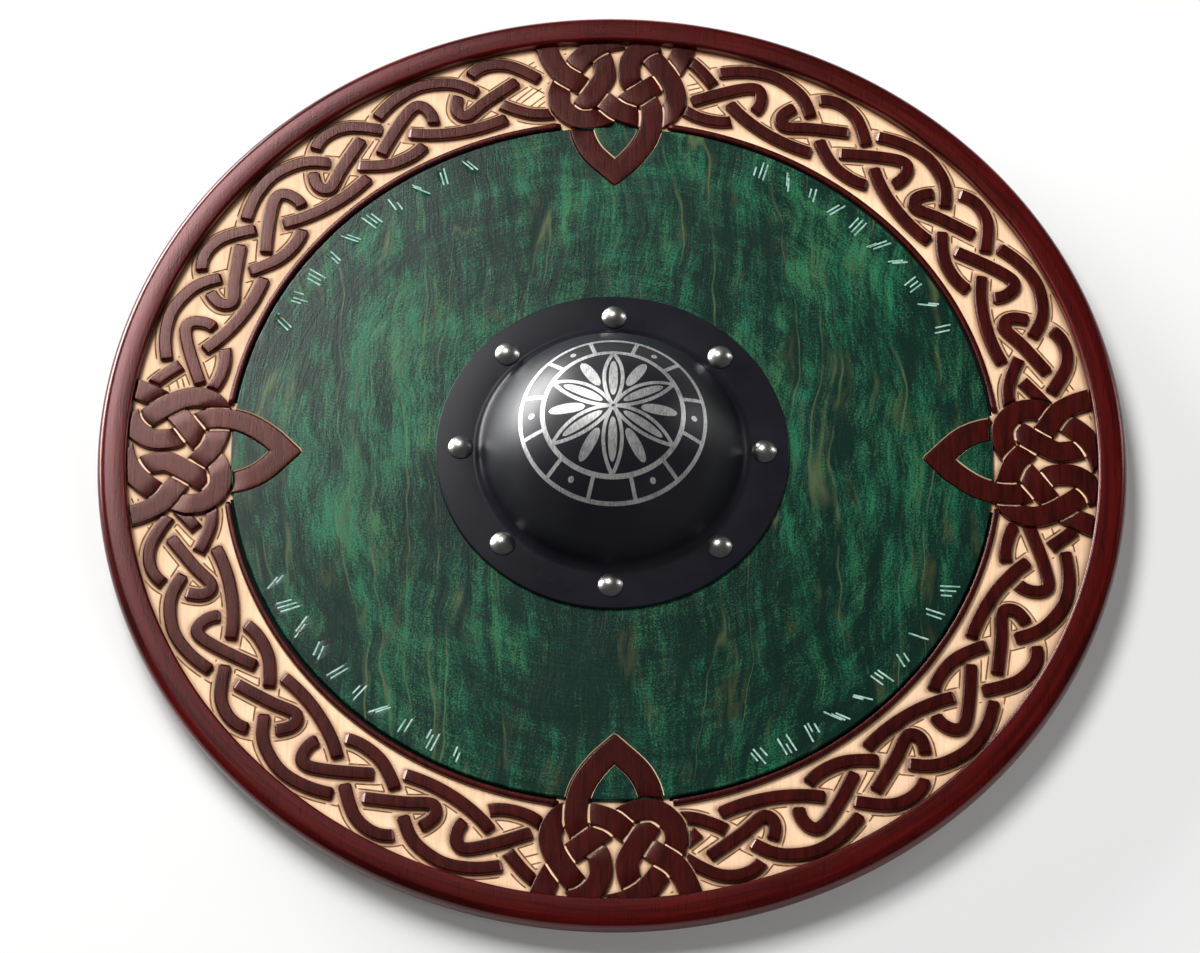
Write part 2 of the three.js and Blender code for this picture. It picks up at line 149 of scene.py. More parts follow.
def flatTops(piece):
    # large faces lead the shading, so a flat top stays flat beside its rounded edges
    weigh = piece.modifiers.new("weigh", "WEIGHTED_NORMAL")
    weigh.keep_sharp, weigh.weight = True, 90
    return evaluated(piece)


def polar(radius, angle):
    return radius * math.cos(angle), radius * math.sin(angle)


def arcPoints(centre, radius, start, end, count):
    angles = np.radians(np.linspace(start, end, count))
    return [(centre[0] + radius * math.cos(a), centre[1] + radius * math.sin(a)) for a in angles]


def fill(tree, node, values):
    # inputs go by name or by number, and hold a value or a socket to link
    for key, value in values.items():
        if isinstance(value, bpy.types.NodeSocket):
            tree.links.new(value, node.inputs[key])
        else:
            node.inputs[key].default_value = value
    return node


def addNode(tree, kind, values=None, **settings):
    node = tree.nodes.new(kind)
    for key, value in settings.items():
        setattr(node, key, value)
    return fill(tree, node, values or {})


def addSocket(tree, kind, values=None, **settings):
    # most nodes give one thing, at their first output
    return addNode(tree, kind, values, **settings).outputs[0]


def newFinish(name):
    material = bpy.data.materials.new(name)
    material.use_nodes = True
    return material, material.node_tree


def finished(material, values):
    fill(material.node_tree, material.node_tree.nodes["Principled BSDF"], values)
    return material


def place(tree, scale=(1, 1, 1), turn=(0, 0, 0)):
    coordinates = addNode(tree, "ShaderNodeTexCoord").outputs["Object"]
    return addSocket(tree, "ShaderNodeMapping", {"Vector": coordinates, "Scale": scale, "Rotation": turn})


def noise(tree, vector, detail=3.0, roughness=0.55, distortion=0.0):
    return addSocket(tree, "ShaderNodeTexNoise", {"Vector": vector, "Scale": 1.0, "Detail": detail,
                                                  "Roughness": roughness, "Distortion": distortion})


def ramp(tree, factor, stops):
    node = addNode(tree, "ShaderNodeValToRGB", {"Fac": factor})
    elements = node.color_ramp.elements
    while len(elements) < len(stops):
        elements.new(0.5)
    for element, (position, tone) in zip(elements, stops):
        element.position = position
        element.color = (*(tone if hasattr(tone, "__len__") else (tone,) * 3), 1)
    return node.outputs["Color"]


def mix(tree, factor, first, second):
    first, second = [(*tone, 1) if isinstance(tone, tuple) else tone for tone in (first, second)]
    return addNode(tree, "ShaderNodeMix", {0: factor, 6: first, 7: second}, data_type="RGBA").outputs[2]


def maths(tree, operation, first, second=0.0):
    return addSocket(tree, "ShaderNodeMath", {0: first, 1: second}, operation=operation)


def vectors(tree, operation, first, second=(0, 0, 0)):
    return addSocket(tree, "ShaderNodeVectorMath", {0: first, 1: second}, operation=operation)


def lengthOf(tree, vector):
    return addNode(tree, "ShaderNodeVectorMath", {0: vector}, operation="LENGTH").outputs["Value"]


def upOnly(tree, height):
    return addSocket(tree, "ShaderNodeCombineXYZ", {"Z": height})


def bump(tree, height, strength, distance):
    return addSocket(tree, "ShaderNodeBump", {"Height": height, "Strength": strength, "Distance": distance})


def ringPlace(tree, slow, fine):
    # position round the middle, the same all along a ring but for slow changes, fine across it
    position = place(tree)
    flat = vectors(tree, "MULTIPLY", position, (1, 1, 0))
    unit = addNode(tree, "ShaderNodeSeparateXYZ", {0: vectors(tree, "NORMALIZE", flat)}).outputs
    height = addNode(tree, "ShaderNodeSeparateXYZ", {0: position}).outputs["Z"]
    outwards = maths(tree, "ADD", lengthOf(tree, flat), height)
    parts = {"X": maths(tree, "MULTIPLY", unit["X"], slow), "Y": maths(tree, "MULTIPLY", unit["Y"], slow),
             "Z": maths(tree, "MULTIPLY", outwards, fine)}
    return addSocket(tree, "ShaderNodeCombineXYZ", parts)


# the foot tone is painted shade, with some brown stain, at the strap feet and under the hoop; its share says
# how much is laid on
birchLook = {"light": (0.95, 0.63, 0.39), "dark": (0.80, 0.48, 0.26), "pale": (0.97, 0.72, 0.51),
             "foot": (0.22, 0.08, 0.03), "shadeShare": 0.78}


def rawBirch():
    # bare pale wood of the carved background, with painted shade, and some brown stain, at the feet of the
    # straps and under the hoop's inner edge
    material, tree = newFinish("rawBirch")
    grain = noise(tree, place(tree, (520, 26, 60)), detail=5, roughness=0.6)
    cloud = noise(tree, place(tree, (22, 12, 10)), detail=2)
    base = ramp(tree, grain, [(0.3, birchLook["dark"]), (0.55, birchLook["light"])])
    base = mix(tree, maths(tree, "MULTIPLY", cloud, 0.5), base, birchLook["pale"])
    # the foot attribute says where the painted shade lies
    foot = addNode(tree, "ShaderNodeAttribute", attribute_name="foot").outputs["Fac"]
    base = mix(tree, maths(tree, "MULTIPLY", foot, birchLook["shadeShare"]), base, birchLook["foot"])
    return finished(material, {"Base Color": base, "Roughness": 0.62,
                               "Normal": bump(tree, grain, 0.25, 0.0003)})


greenLook = {
    "deep": (0.0020, 0.015, 0.010), "dark": (0.004, 0.031, 0.018), "middle": (0.007, 0.060, 0.031),
    "bright": (0.015, 0.135, 0.062), "vein": (0.100, 0.132, 0.056), "amber": (0.045, 0.045, 0.017),
    "warm": (0.052, 0.135, 0.046),
    # the middle level, and how much each part of the figure adds to it
    "middleLevel": 0.492,
    "shares": {"cloud": 0.28, "wiped": 0.22, "streak": 0.36, "curl": 0.22, "fibre": 0.22, "brushed": 0.12,
               "speck": 0.36},
    # soft dark places: middle, size in mm and how dark
    "patches": [(-89, 137, 46, 0.055), (-32, 118, 34, 0.05), (80, 149, 34, 0.05), (-20, -150, 44, 0.05),
                (110, -120, 230, 0.046)],
    # the field grows darker towards the bead: from and to radius in mm, and how much
    "edge": (188.0, 219.0, 0.032),
    # thin veins, each with a dark side: tone, width, shift and how strong
    "veins": [("deep", 0.014, 0.05, 0.4), ("vein", 0.009, 0.0, 0.6)],
    "drift": (13.0, 0.03)}                   # how close and how far the grain wanders


def veins(tree, vector, width, detail=3.0):
    # thin wandering lines, where a noise drawn out along the grain crosses its middle value
    level = maths(tree, "SUBTRACT", noise(tree, vector, detail=detail, roughness=0.5), 0.5)
    return ramp(tree, maths(tree, "ABSOLUTE", level), [(0.0, 1.0), (width, 0.0)])


def greenStain():
    # green stain wiped round and round over figured wood, with its veins running up and down
    material, tree = newFinish("greenStain")
    look, position = greenLook, place(tree)
    close, far = look["drift"]
    drift = addNode(tree, "ShaderNodeTexNoise", {"Vector": position, "Scale": close, "Detail": 2.0})
    drift = vectors(tree, "SUBTRACT", drift.outputs["Color"], (0.5, 0.5, 0.5))
    bent = vectors(tree, "ADD", position, vectors(tree, "MULTIPLY", drift, (far, far, far)))

    def along(scale, turn=0.0, shift=0.0):
        return addSocket(tree, "ShaderNodeMapping", {"Vector": bent, "Scale": scale, "Rotation": (0, 0, turn),
                                                     "Location": (shift, 0, 0)})

    def times(first, second):
        return maths(tree, "MULTIPLY", first, second)
    figure = {
        "fibre": noise(tree, along((760, 46, 1), 0.3), detail=4, roughness=0.7),
        "curl": noise(tree, along((120, 22, 1), 0.2), detail=5, roughness=0.6, distortion=0.8),
        "streak": noise(tree, along((75, 11, 1)), detail=5, roughness=0.6, distortion=0.6),
        "cloud": noise(tree, place(tree, (16, 12, 1)), detail=4, roughness=0.6, distortion=0.7),
        "wiped": noise(tree, ringPlace(tree, 5.0, 85.0), detail=6, roughness=0.6, distortion=0.4),
        "brushed": noise(tree, ringPlace(tree, 7.0, 520.0), detail=4, roughness=0.65, distortion=0.2),
        "speck": noise(tree, place(tree, (900, 900, 900)), detail=2)}
    level = look["middleLevel"] - sum(look["shares"].values()) / 2
    for name, share in look["shares"].items():
        level = maths(tree, "ADD", times(figure[name], share), level)
    for x, y, size, depth in look["patches"]:
        away = lengthOf(tree, vectors(tree, "SUBTRACT", bent, (x * mm, y * mm, faceZ * mm)))
        near = ramp(tree, times(away, 0.5 / (size * mm)), [(0.08, depth), (0.6, 0.0)])
        level = maths(tree, "SUBTRACT", level, times(near, times(figure["cloud"], 2.0)))
    inner, outer, depth = look["edge"]
    away = lengthOf(tree, vectors(tree, "SUBTRACT", position, (0, 0, faceZ * mm)))
    level = maths(tree, "SUBTRACT", level, ramp(tree, away, [(inner * mm, 0.0), (outer * mm, depth)]))
    stops = zip((0.435, 0.475, 0.52, 0.60), ("deep", "dark", "middle", "bright"))
    base = ramp(tree, level, [(at, look[name]) for at, name in stops])
    warm = ramp(tree, noise(tree, along((85, 10, 1)), detail=4, distortion=0.8), [(0.50, 0.0), (0.66, 0.45)])
    base = mix(tree, times(warm, ramp(tree, level, [(0.46, 0.0), (0.56, 1.0)])), base, look["warm"])
    fade = noise(tree, place(tree, (30, 16, 1)), detail=3)
    inCurl = ramp(tree, times(fade, figure["curl"]), [(0.25, 0.0), (0.36, 0.6)])
    base = mix(tree, times(veins(tree, along((30, 7, 1)), 0.045), inCurl), base, look["amber"])
    for name, width, shift, share in look["veins"]:
        thin = veins(tree, along((32, 2.4, 2), shift=shift), width, detail=1.5)
        base = mix(tree, times(thin, ramp(tree, fade, [(0.42, 0.0), (0.60, share)])), base, look[name])
    relief = maths(tree, "ADD", maths(tree, "ADD", figure["fibre"], figure["curl"]), figure["brushed"])
    return finished(material, {"Base Color": base, "Roughness": 0.25, "Specular IOR Level": 0.24,
                               "Normal": bump(tree, relief, 0.3, 0.0003)})


redLook = {
    "strapWood": {"dark": (0.016, 0.0012, 0.0010), "light": (0.049, 0.0039, 0.0031), "roughness": 0.24,
                  "specular": 0.46, "sheen": (1.0, 0.60, 0.54)},
    "hoopWood": {"dark": (0.023, 0.0010, 0.0010), "light": (0.076, 0.0035, 0.0031), "roughness": 0.22,
                 "specular": 0.56, "sheen": (1.0, 0.58, 0.58)}}


def redWood(name, alongGrain):
    # red-brown stain over straight grain, satin varnish
    material, tree = newFinish(name)
    look = redLook[name]
    grain = noise(tree, alongGrain(tree), detail=6, roughness=0.6, distortion=0.25)
    pores = noise(tree, place(tree, (900, 60, 400)), detail=3, roughness=0.7)
    cloud = noise(tree, place(tree, (18, 18, 18)), detail=3)
    base = ramp(tree, grain, [(0.34, look["dark"]), (0.66, look["light"])])
    inPores = ramp(tree, pores, [(0.30, 0.6), (0.46, 0.0)])
    base = mix(tree, inPores, base, tuple(c * 0.4 for c in look["dark"]))
    base = mix(tree, ramp(tree, cloud, [(0.45, 0.0), (0.75, 0.6)]), base, look["dark"])
    return finished(material, {
        "Base Color": base, "Roughness": look["roughness"], "Specular IOR Level": look["specular"],
        "Specular Tint": (*look["sheen"], 1),
        "Normal": bump(tree, maths(tree, "ADD", grain, pores), 0.15, 0.0003)})


def plainWood(name, dark, light, scale):
    material, tree = newFinish(name)
    grain = noise(tree, place(tree, scale), detail=6, roughness=0.62, distortion=0.4)
    cloud = noise(tree, place(tree, (14, 14, 14)), detail=2)
    base = ramp(tree, grain, [(0.3, dark), (0.65, light)])
    base = mix(tree, maths(tree, "MULTIPLY", cloud, 0.4), base, tuple(c * 0.7 for c in light))
    return finished(material, {"Base Color": base, "Roughness": 0.55,
                               "Normal": bump(tree, grain, 0.3, 0.0003)})


# each value is for the flange and then what the dome has more
steelLook = {"dark": (0.006, 0.006, 0.009), "light": (0.011, 0.011, 0.015), "roughness": ((0.26, 0.32), 0.11),
             "specular": (0.13, 0.40), "domeFrom": 0.027, "domeFull": 0.033}


def blackSteel():
    # black coat, worn a little more satin on the dome than on the flange
    material, tree = newFinish("blackSteel")
    look = steelLook
    skin = noise(tree, place(tree, (900, 900, 900)), detail=2)
    smear = noise(tree, place(tree, (20, 26, 20)), detail=4)
    height = addNode(tree, "ShaderNodeSeparateXYZ", {0: place(tree)}).outputs["Z"]
    stops = [(look["domeFrom"] * 10, 0.0), (look["domeFull"] * 10, 1.0)]
    onDome = ramp(tree, maths(tree, "MULTIPLY", height, 10.0), stops)
    (smooth, rough), roughMore = look["roughness"]
    specular, specularMore = look["specular"]

    def withDome(flange, more):
        return maths(tree, "ADD", maths(tree, "MULTIPLY", onDome, more), flange)
    return finished(material, {
        "Base Color": ramp(tree, smear, [(0.3, look["dark"]), (0.7, look["light"])]),
        "Roughness": withDome(ramp(tree, smear, [(0.3, smooth), (0.7, rough)]), roughMore),
        "Specular IOR Level": withDome(specular, specularMore), "Normal": bump(tree, skin, 0.10, 0.0001)})


def brightCut():
    # bright metal where the ornament is engraved, with the tool's fine scratches
    material, tree = newFinish("brightCut")
    scratch = noise(tree, place(tree, (1500, 260, 200), (0, 0, 0.5)), detail=3, distortion=0.8)
    cloud = noise(tree, place(tree, (60, 60, 60)), detail=2)
    level = maths(tree, "ADD", maths(tree, "MULTIPLY", scratch, 0.6), maths(tree, "MULTIPLY", cloud, 0.4))
    base = ramp(tree, level, [(0.35, (0.30, 0.30, 0.30)), (0.6, (0.72, 0.72, 0.70))])
    return finished(material, {"Base Color": base, "Metallic": 0.75, "Roughness": 0.42,
                               "Normal": bump(tree, scratch, 0.4, 0.0001)})


def nickelPlate():
    material, tree = newFinish("nickelPlate")
    smear = noise(tree, place(tree, (160, 160, 160)), detail=4)
    base = ramp(tree, smear, [(0.3, (0.66, 0.64, 0.60)), (0.7, (0.86, 0.84, 0.80))])
    return finished(material, {"Base Color": base, "Metallic": 1.0,
                               "Roughness": ramp(tree, smear, [(0.3, 0.27), (0.7, 0.36)])})


def wornPaint(name, scale, stops, roughness):
    # paint or ink in two tones
    material, tree = newFinish(name)
    base = ramp(tree, noise(tree, place(tree, scale), detail=3), stops)
    return finished(material, {"Base Color": base, "Roughness": roughness})


birch = rawBirch()
green = greenStain()
strapWood = redWood("strapWood", lambda tree: place(tree, (240, 30, 90)))
hoopWood = redWood("hoopWood", lambda tree: ringPlace(tree, 4.0, 330.0))
backWood = plainWood("backWood", (0.26, 0.14, 0.07), (0.46, 0.28, 0.15), (260, 14, 40))
gripWood = plainWood("gripWood", (0.16, 0.07, 0.025), (0.34, 0.17, 0.07), (18, 240, 200))
steel = blackSteel()
engraved = brightCut()
nickel = nickelPlate()
# pale grey-green paint left in the cut strokes, and the brown of the scribed lines
cutPaint = wornPaint("paintedCut", (300, 300, 300),
                     [(0.35, (0.16, 0.32, 0.27)), (0.6, (0.40, 0.60, 0.52))], 0.6)
ink = wornPaint("scribeInk", (260, 260, 100),
                [(0.40, (0.14, 0.055, 0.020)), (0.68, (0.32, 0.155, 0.065))], 0.7)
# painted shade: a near-black fill for the narrow groove round the field and for the deep part of the grooves
# round the pointed turns
shade = finished(newFinish("darkShade")[0], {"Base Color": (0.002, 0.010, 0.008, 1), "Roughness": 0.7,
                                             "Specular IOR Level": 0.1})
print("finishes made")


def newTree(name, sockets):
    tree = bpy.data.node_groups.new(name, "GeometryNodeTree")
    tree.is_modifier = True
    tree.interface.new_socket("Geometry", in_out="INPUT", socket_type="NodeSocketGeometry")
    for label, kind in sockets:
        tree.interface.new_socket(label, in_out="INPUT", socket_type="NodeSocket" + kind)
    tree.interface.new_socket("Geometry", in_out="OUTPUT", socket_type="NodeSocketGeometry")
    return tree, tree.nodes.new("NodeGroupInput").outputs


def finishTree(tree, geometry, material):
    real = addSocket(tree, "GeometryNodeRealizeInstances", {"Geometry": geometry})
    painted = addSocket(tree, "GeometryNodeSetMaterial", {"Geometry": real, "Material": material})
    addNode(tree, "NodeGroupOutput", {0: painted})
    return tree


def heightOf(tree, axis):
    position = addSocket(tree, "GeometryNodeInputPosition")
    return addNode(tree, "ShaderNodeSeparateXYZ", {0: position}).outputs[axis]


def stored(tree, name):
    return addSocket(tree, "GeometryNodeInputNamedAttribute", {"Name": name}, data_type="FLOAT")


def strapTree():
    # sweeps a strap with rounded top edges along each line, narrowed and let down at its ends
    sockets = [(name, "Float") for name in ("Half Width", "Foot Spread", "Height", "Edge Round",
               "End Length", "End Scale", "Dip Length", "Dip", "Foot Level")]
    tree, given = newTree("strapSweep", sockets + [("Material", "Material")])

    def calc(operation, first, second=0.0):
        return maths(tree, operation, first, second)
    curve = addSocket(tree, "GeometryNodeMeshToCurve", {"Mesh": given["Geometry"]})
    curve = addSocket(tree, "GeometryNodeSetCurveNormal", {"Curve": curve}, mode="Z_UP")
    along = addNode(tree, "GeometryNodeSplineParameter").outputs["Length"]
    whole = addNode(tree, "GeometryNodeSplineLength").outputs["Length"]
    fromEnd = calc("MINIMUM", along, calc("SUBTRACT", whole, along))

    def nearness(reach):                     # 1 at an end of the strap, 0 past the reach
        return calc("SUBTRACT", 1.0, calc("MINIMUM", calc("DIVIDE", fromEnd, reach), 1.0))
    nearEnd, nearDip = nearness(given["End Length"]), nearness(given["Dip Length"])
    quarter = calc("SQRT", calc("SUBTRACT", 1.0, calc("MULTIPLY", nearEnd, nearEnd)))
    widening = calc("MULTIPLY", quarter, calc("SUBTRACT", 1.0, given["End Scale"]))
    scale = calc("ADD", given["End Scale"], widening)
    dip = calc("MULTIPLY", given["Dip"], calc("MULTIPLY", nearDip, nearDip))
    curve = addSocket(tree, "GeometryNodeStoreNamedAttribute",
                      {"Geometry": curve, "Name": "dip", "Value": dip}, data_type="FLOAT", domain="POINT")
    top = calc("MULTIPLY", given["Half Width"], 2.0)
    foot = calc("ADD", top, calc("MULTIPLY", given["Foot Spread"], 2.0))
    section = addSocket(tree, "GeometryNodeCurvePrimitiveQuadrilateral",
                        {"Height": given["Height"], "Bottom Width": foot, "Top Width": top, "Offset": 0.0},
                        mode="TRAPEZOID")
    rounded = calc("MULTIPLY", calc("GREATER_THAN", heightOf(tree, "Y"), 0.0), given["Edge Round"])
    section = addSocket(tree, "GeometryNodeFilletCurve",
                        {"Curve": section, "Count": 3, "Radius": rounded}, mode="POLY")
    lift = addSocket(tree, "ShaderNodeCombineXYZ", {"Y": calc("MULTIPLY", given["Height"], -0.5)})
    section = addSocket(tree, "GeometryNodeTransform",
                        {"Geometry": section, "Translation": lift, "Rotation": (0, 0, math.pi)})
    strap = addSocket(tree, "GeometryNodeCurveToMesh",
                      {"Curve": curve, "Profile Curve": section, "Scale": scale, "Fill Caps": True})
    share = calc("DIVIDE", calc("SUBTRACT", heightOf(tree, "Z"), given["Foot Level"]), given["Height"])
    drop = upOnly(tree, calc("MULTIPLY", calc("MULTIPLY", stored(tree, "dip"), share), -1.0))
    moved = addSocket(tree, "GeometryNodeSetPosition", {"Geometry": strap, "Offset": drop})
    return finishTree(tree, moved, given["Material"])


def rivetTree():
    # copies of one rivet round a circle, each turned its own way, at every nth place or at all the others
    sockets = [("Count", "Int"), ("Circle", "Float"), ("Every", "Int"), ("Keep Every", "Bool"),
               ("Seed", "Int"), ("Material", "Material")]
    tree, given = newTree("rivetRing", sockets)
    circle = addSocket(tree, "GeometryNodeMeshCircle",
                       {"Vertices": given["Count"], "Radius": given["Circle"]})
    overNth = maths(tree, "MODULO", addSocket(tree, "GeometryNodeInputIndex"), given["Every"])
    isNth = addSocket(tree, "FunctionNodeCompare", {2: overNth, 3: 0}, data_type="INT", operation="EQUAL")
    skipped = addSocket(tree, "FunctionNodeBooleanMath", {0: isNth, 1: given["Keep Every"]}, operation="XOR")
    spin = addNode(tree, "FunctionNodeRandomValue", {2: 0.0, 3: 6.28, "Seed": given["Seed"]},
                   data_type="FLOAT").outputs[1]
    kept = addSocket(tree, "GeometryNodeDeleteGeometry", {"Geometry": circle, "Selection": skipped},
                     domain="POINT")
    copies = addSocket(tree, "GeometryNodeInstanceOnPoints",
                       {"Points": kept, "Instance": given["Geometry"], "Rotation": upOnly(tree, spin)})
    return finishTree(tree, copies, given["Material"])


def strokeTree():
    # a wedge on each point, with the length and lean that the point carries
    sockets = [("Half Width", "Float"), ("Depth", "Float"), ("Material", "Material")]
    tree, given = newTree("cutStrokes", sockets)
    wedge = addSocket(tree, "GeometryNodeMeshCylinder", {"Vertices": 3, "Radius": 1.0, "Depth": 1.0})
    wedge = addSocket(tree, "GeometryNodeTransform",
                      {"Geometry": wedge, "Rotation": (math.pi / 2, math.pi, 0)})
    size = addSocket(tree, "ShaderNodeCombineXYZ",
                     {"X": given["Half Width"], "Y": stored(tree, "long"), "Z": given["Depth"]})
    turn = upOnly(tree, stored(tree, "lean"))
    copies = addSocket(tree, "GeometryNodeInstanceOnPoints",
                       {"Points": given["Geometry"], "Instance": wedge, "Rotation": turn, "Scale": size})
    return finishTree(tree, copies, given["Material"])


def grow(piece, tree, values, sharpAngle=32):
    # runs the tree on the piece and keeps the result as its plain mesh
    modifier = piece.modifiers.new(tree.name, "NODES")
    modifier.node_group = tree
    sockets = {s.name: s.identifier for s in tree.interface.items_tree if s.in_out == "INPUT"}
    for label, value in values.items():
        modifier[sockets[label]] = value
    piece.update_tag()
    mend(evaluated(piece).data, sharpAngle)
    return piece


sweep, ring, strokes = strapTree(), rivetTree(), strokeTree()
print("node trees built")


def swept(name, lines, material, width, height, edgeRound, spread=0.1, ends=(1.0, 1.0), dip=(0.0, 3.0),
          level=footZ, closed=False):
    # a strap along each line, sizes in mm; ends is how long and how narrow, dip how deep and how long
    sizes = {"Half Width": width / 2, "Foot Spread": spread, "Height": height, "Edge Round": edgeRound,
             "End Length": ends[0], "Dip Length": dip[1], "Dip": dip[0], "Foot Level": level}
    values = {label: float(size) * mm for label, size in sizes.items()}
    values.update({"End Scale": ends[1], "Material": material})
    return grow(linesPiece(name, lines, closed), sweep, values)


pathStep = 0.5                               # mm between the points of a path


def evenly(path, step, closed=False):
    line = np.vstack([path, path[:1]]) if closed else path
    along = np.r_[0, np.cumsum(np.linalg.norm(np.diff(line, axis=0), axis=1))]
    count = max(2, round(along[-1] / step))
    at = np.linspace(0, along[-1], count + 1)
    even = np.c_[np.interp(at, along, line[:, 0]), np.interp(at, along, line[:, 1])]
    return even[:-1] if closed else even


def smoothPath(points, closed=False, steps=16):
    # a Catmull-Rom curve through the points, then spaced evenly
    given, count = np.array(points, float), len(points)
    path = []
    for i in range(count if closed else count - 1):
        near = [(i + k) % count if closed else min(max(i + k, 0), count - 1) for k in (-1, 0, 1, 2)]
        a, b, c, d = given[near]
        for t in np.arange(steps) / steps:
            path.append(0.5 * (2 * b + (c - a) * t + (2 * a - 5 * b + 4 * c - d) * t ** 2
                               + (3 * b - a - 3 * c + d) * t ** 3))
    if not closed:
        path.append(given[-1])
    return evenly(np.array(path), pathStep, closed)


def normalsOf(path, closed=False):
    along = np.roll(path, -1, 0) - np.roll(path, 1, 0) if closed else np.gradient(path, axis=0)
    along /= np.linalg.norm(along, axis=1)[:, None]
    return np.c_[-along[:, 1], along[:, 0]]


def turnedBy(points, angle):
    c, s = math.cos(angle), math.sin(angle)
    return np.asarray(points) @ np.array([[c, s], [-s, c]])


def distanceTo(points, line):
    return np.sqrt(((points[:, None] - line[None]) ** 2).sum(-1)).min(1)


def crossingsOf(first, second, closed=False):
    # where two paths cross, as positions along each
    def segments(path):
        return (path, np.roll(path, -1, 0)) if closed else (path[:-1], path[1:])
    (a1, a2), (b1, b2) = segments(first), segments(second)
    r, s, gap = a2 - a1, b2 - b1, b1[None] - a1[:, None]
    area = r[:, None, 0] * s[None, :, 1] - r[:, None, 1] * s[None, :, 0]
    area[np.abs(area) < 1e-12] = np.inf
    t = (gap[..., 0] * s[None, :, 1] - gap[..., 1] * s[None, :, 0]) / area
    u = (gap[..., 0] * r[:, None, 1] - gap[..., 1] * r[:, None, 0]) / area
    found = []
    for i, j in zip(*np.nonzero((t >= 0) & (t < 1) & (u >= 0) & (u < 1) & np.isfinite(area))):
        apart = min(abs(i - j), len(first) - abs(i - j))
        if first is not second or apart > 2:
            found.append((i + t[i, j], j + u[i, j]))
    return found


across = (-1, -0.5, 0, 0.5, 1)               # places across a strap, from its right edge to its left
coverReach = 45                              # points of a covering strap to each side of a crossing


def nearStretch(line, at, closed):
    picked = np.arange(int(at) - coverReach, int(at) + coverReach + 1)
    return line[picked % len(line)] if closed else line[picked[(picked >= 0) & (picked < len(line))]]


def cutStraps(path, closed, cuts, half, clearance, squareEnds=False):
    # cuts holds (position, covering stretch); a strap starts where it comes clear of its cover
    normals, order = normalsOf(path, closed), sorted(cuts, key=lambda cut: cut[0])
    if closed:
        ends = order + [(order[0][0] + len(path), order[0][1])]
    else:
        ends = [(0, None)] + order + [(len(path) - 1, None)]
    straps = []
    for (a, coverA), (b, coverB) in zip(ends[:-1], ends[1:]):
        at = np.arange(math.ceil(a), math.floor(b) + 1) % len(path)
        line, out = path[at], normals[at]
        starts, stops, last = [], [], len(line) - 1
        for u in across:
            edge = line + out * (0 if squareEnds else u) * half
            freeA = [0] if coverA is None else np.nonzero(distanceTo(edge, coverA) >= clearance)[0]
            freeB = [last] if coverB is None else np.nonzero(distanceTo(edge, coverB) >= clearance)[0]
            starts.append(int(freeA[0]) if len(freeA) else last)
            stops.append(int(freeB[-1]) if len(freeB) else 0)
        straps.append({"path": line, "out": out, "half": half, "start": starts, "stop": stops,
                       "under": (coverA is not None, coverB is not None)})
    return straps


def trimmed(strap, isBlocked):
    # keeps the longest free run at each place across
    starts, stops = [], []
    for u, a, b in zip(across, strap["start"], strap["stop"]):
        if b <= a:
            return None
        free = ~isBlocked(strap["path"][a:b + 1] + strap["out"][a:b + 1] * u * strap["half"])
        edges = np.flatnonzero(np.diff(np.r_[0, free.astype(int), 0]))
        runs = sorted(zip(edges[::2], edges[1::2]), key=lambda run: run[0] - run[1])
        if not runs:
            return None
        starts.append(a + int(runs[0][0]))
        stops.append(a + int(runs[0][1]) - 1)
    return {**strap, "start": starts, "stop": stops}


def turnedStrap(strap, angle):
    return {**strap, "path": turnedBy(strap["path"], angle), "out": turnedBy(strap["out"], angle)}


border = {
    "loops": 16, "circle": 255.9, "width": 7.4, "gap": 3.3, "shortest": 5.5,
    # middles of short straps that aren't cut
    "leftOut": [(-48.5, 245.2), (-39.9, -257.7), (43.3, 257.3)],
    "turns": (1.06, 1.92, 1.72, 1.12),       # degrees, the quarters are laid a little out of step
    # one closed loop, in mm along the border (clockwise) and outwards from its middle circle
    "run": [(-35.3, 14.0), (-21, 19.3), (-7, 21.1), (6.2, 18.0), (15.5, 12.9), (24.6, 3.6), (34.4, -6.6),
            (42.1, -12.9), (53.4, -18.9), (66, -20.6), (76.7, -18.9), (85.3, -14.1), (91.3, -7.6),
            (93.1, -0.1), (90.8, 7.2), (85.3, 9.0), (73.3, 2.8), (53.4, -9.1), (45.4, -14.1),
            (36.8, -18.2), (22.9, -20), (9.6, -19.4), (-4.4, -16.4), (-17.7, -10.8), (-31, -1.6),
            (-47.6, 13), (-56.9, 19), (-67.5, 20.6), (-77.1, 17), (-87, 6.8), (-92.1, -1.6),
            (-91.4, -7.4), (-86.4, -9.2), (-72.8, -3.3), (-51.3, 5.9)],
}

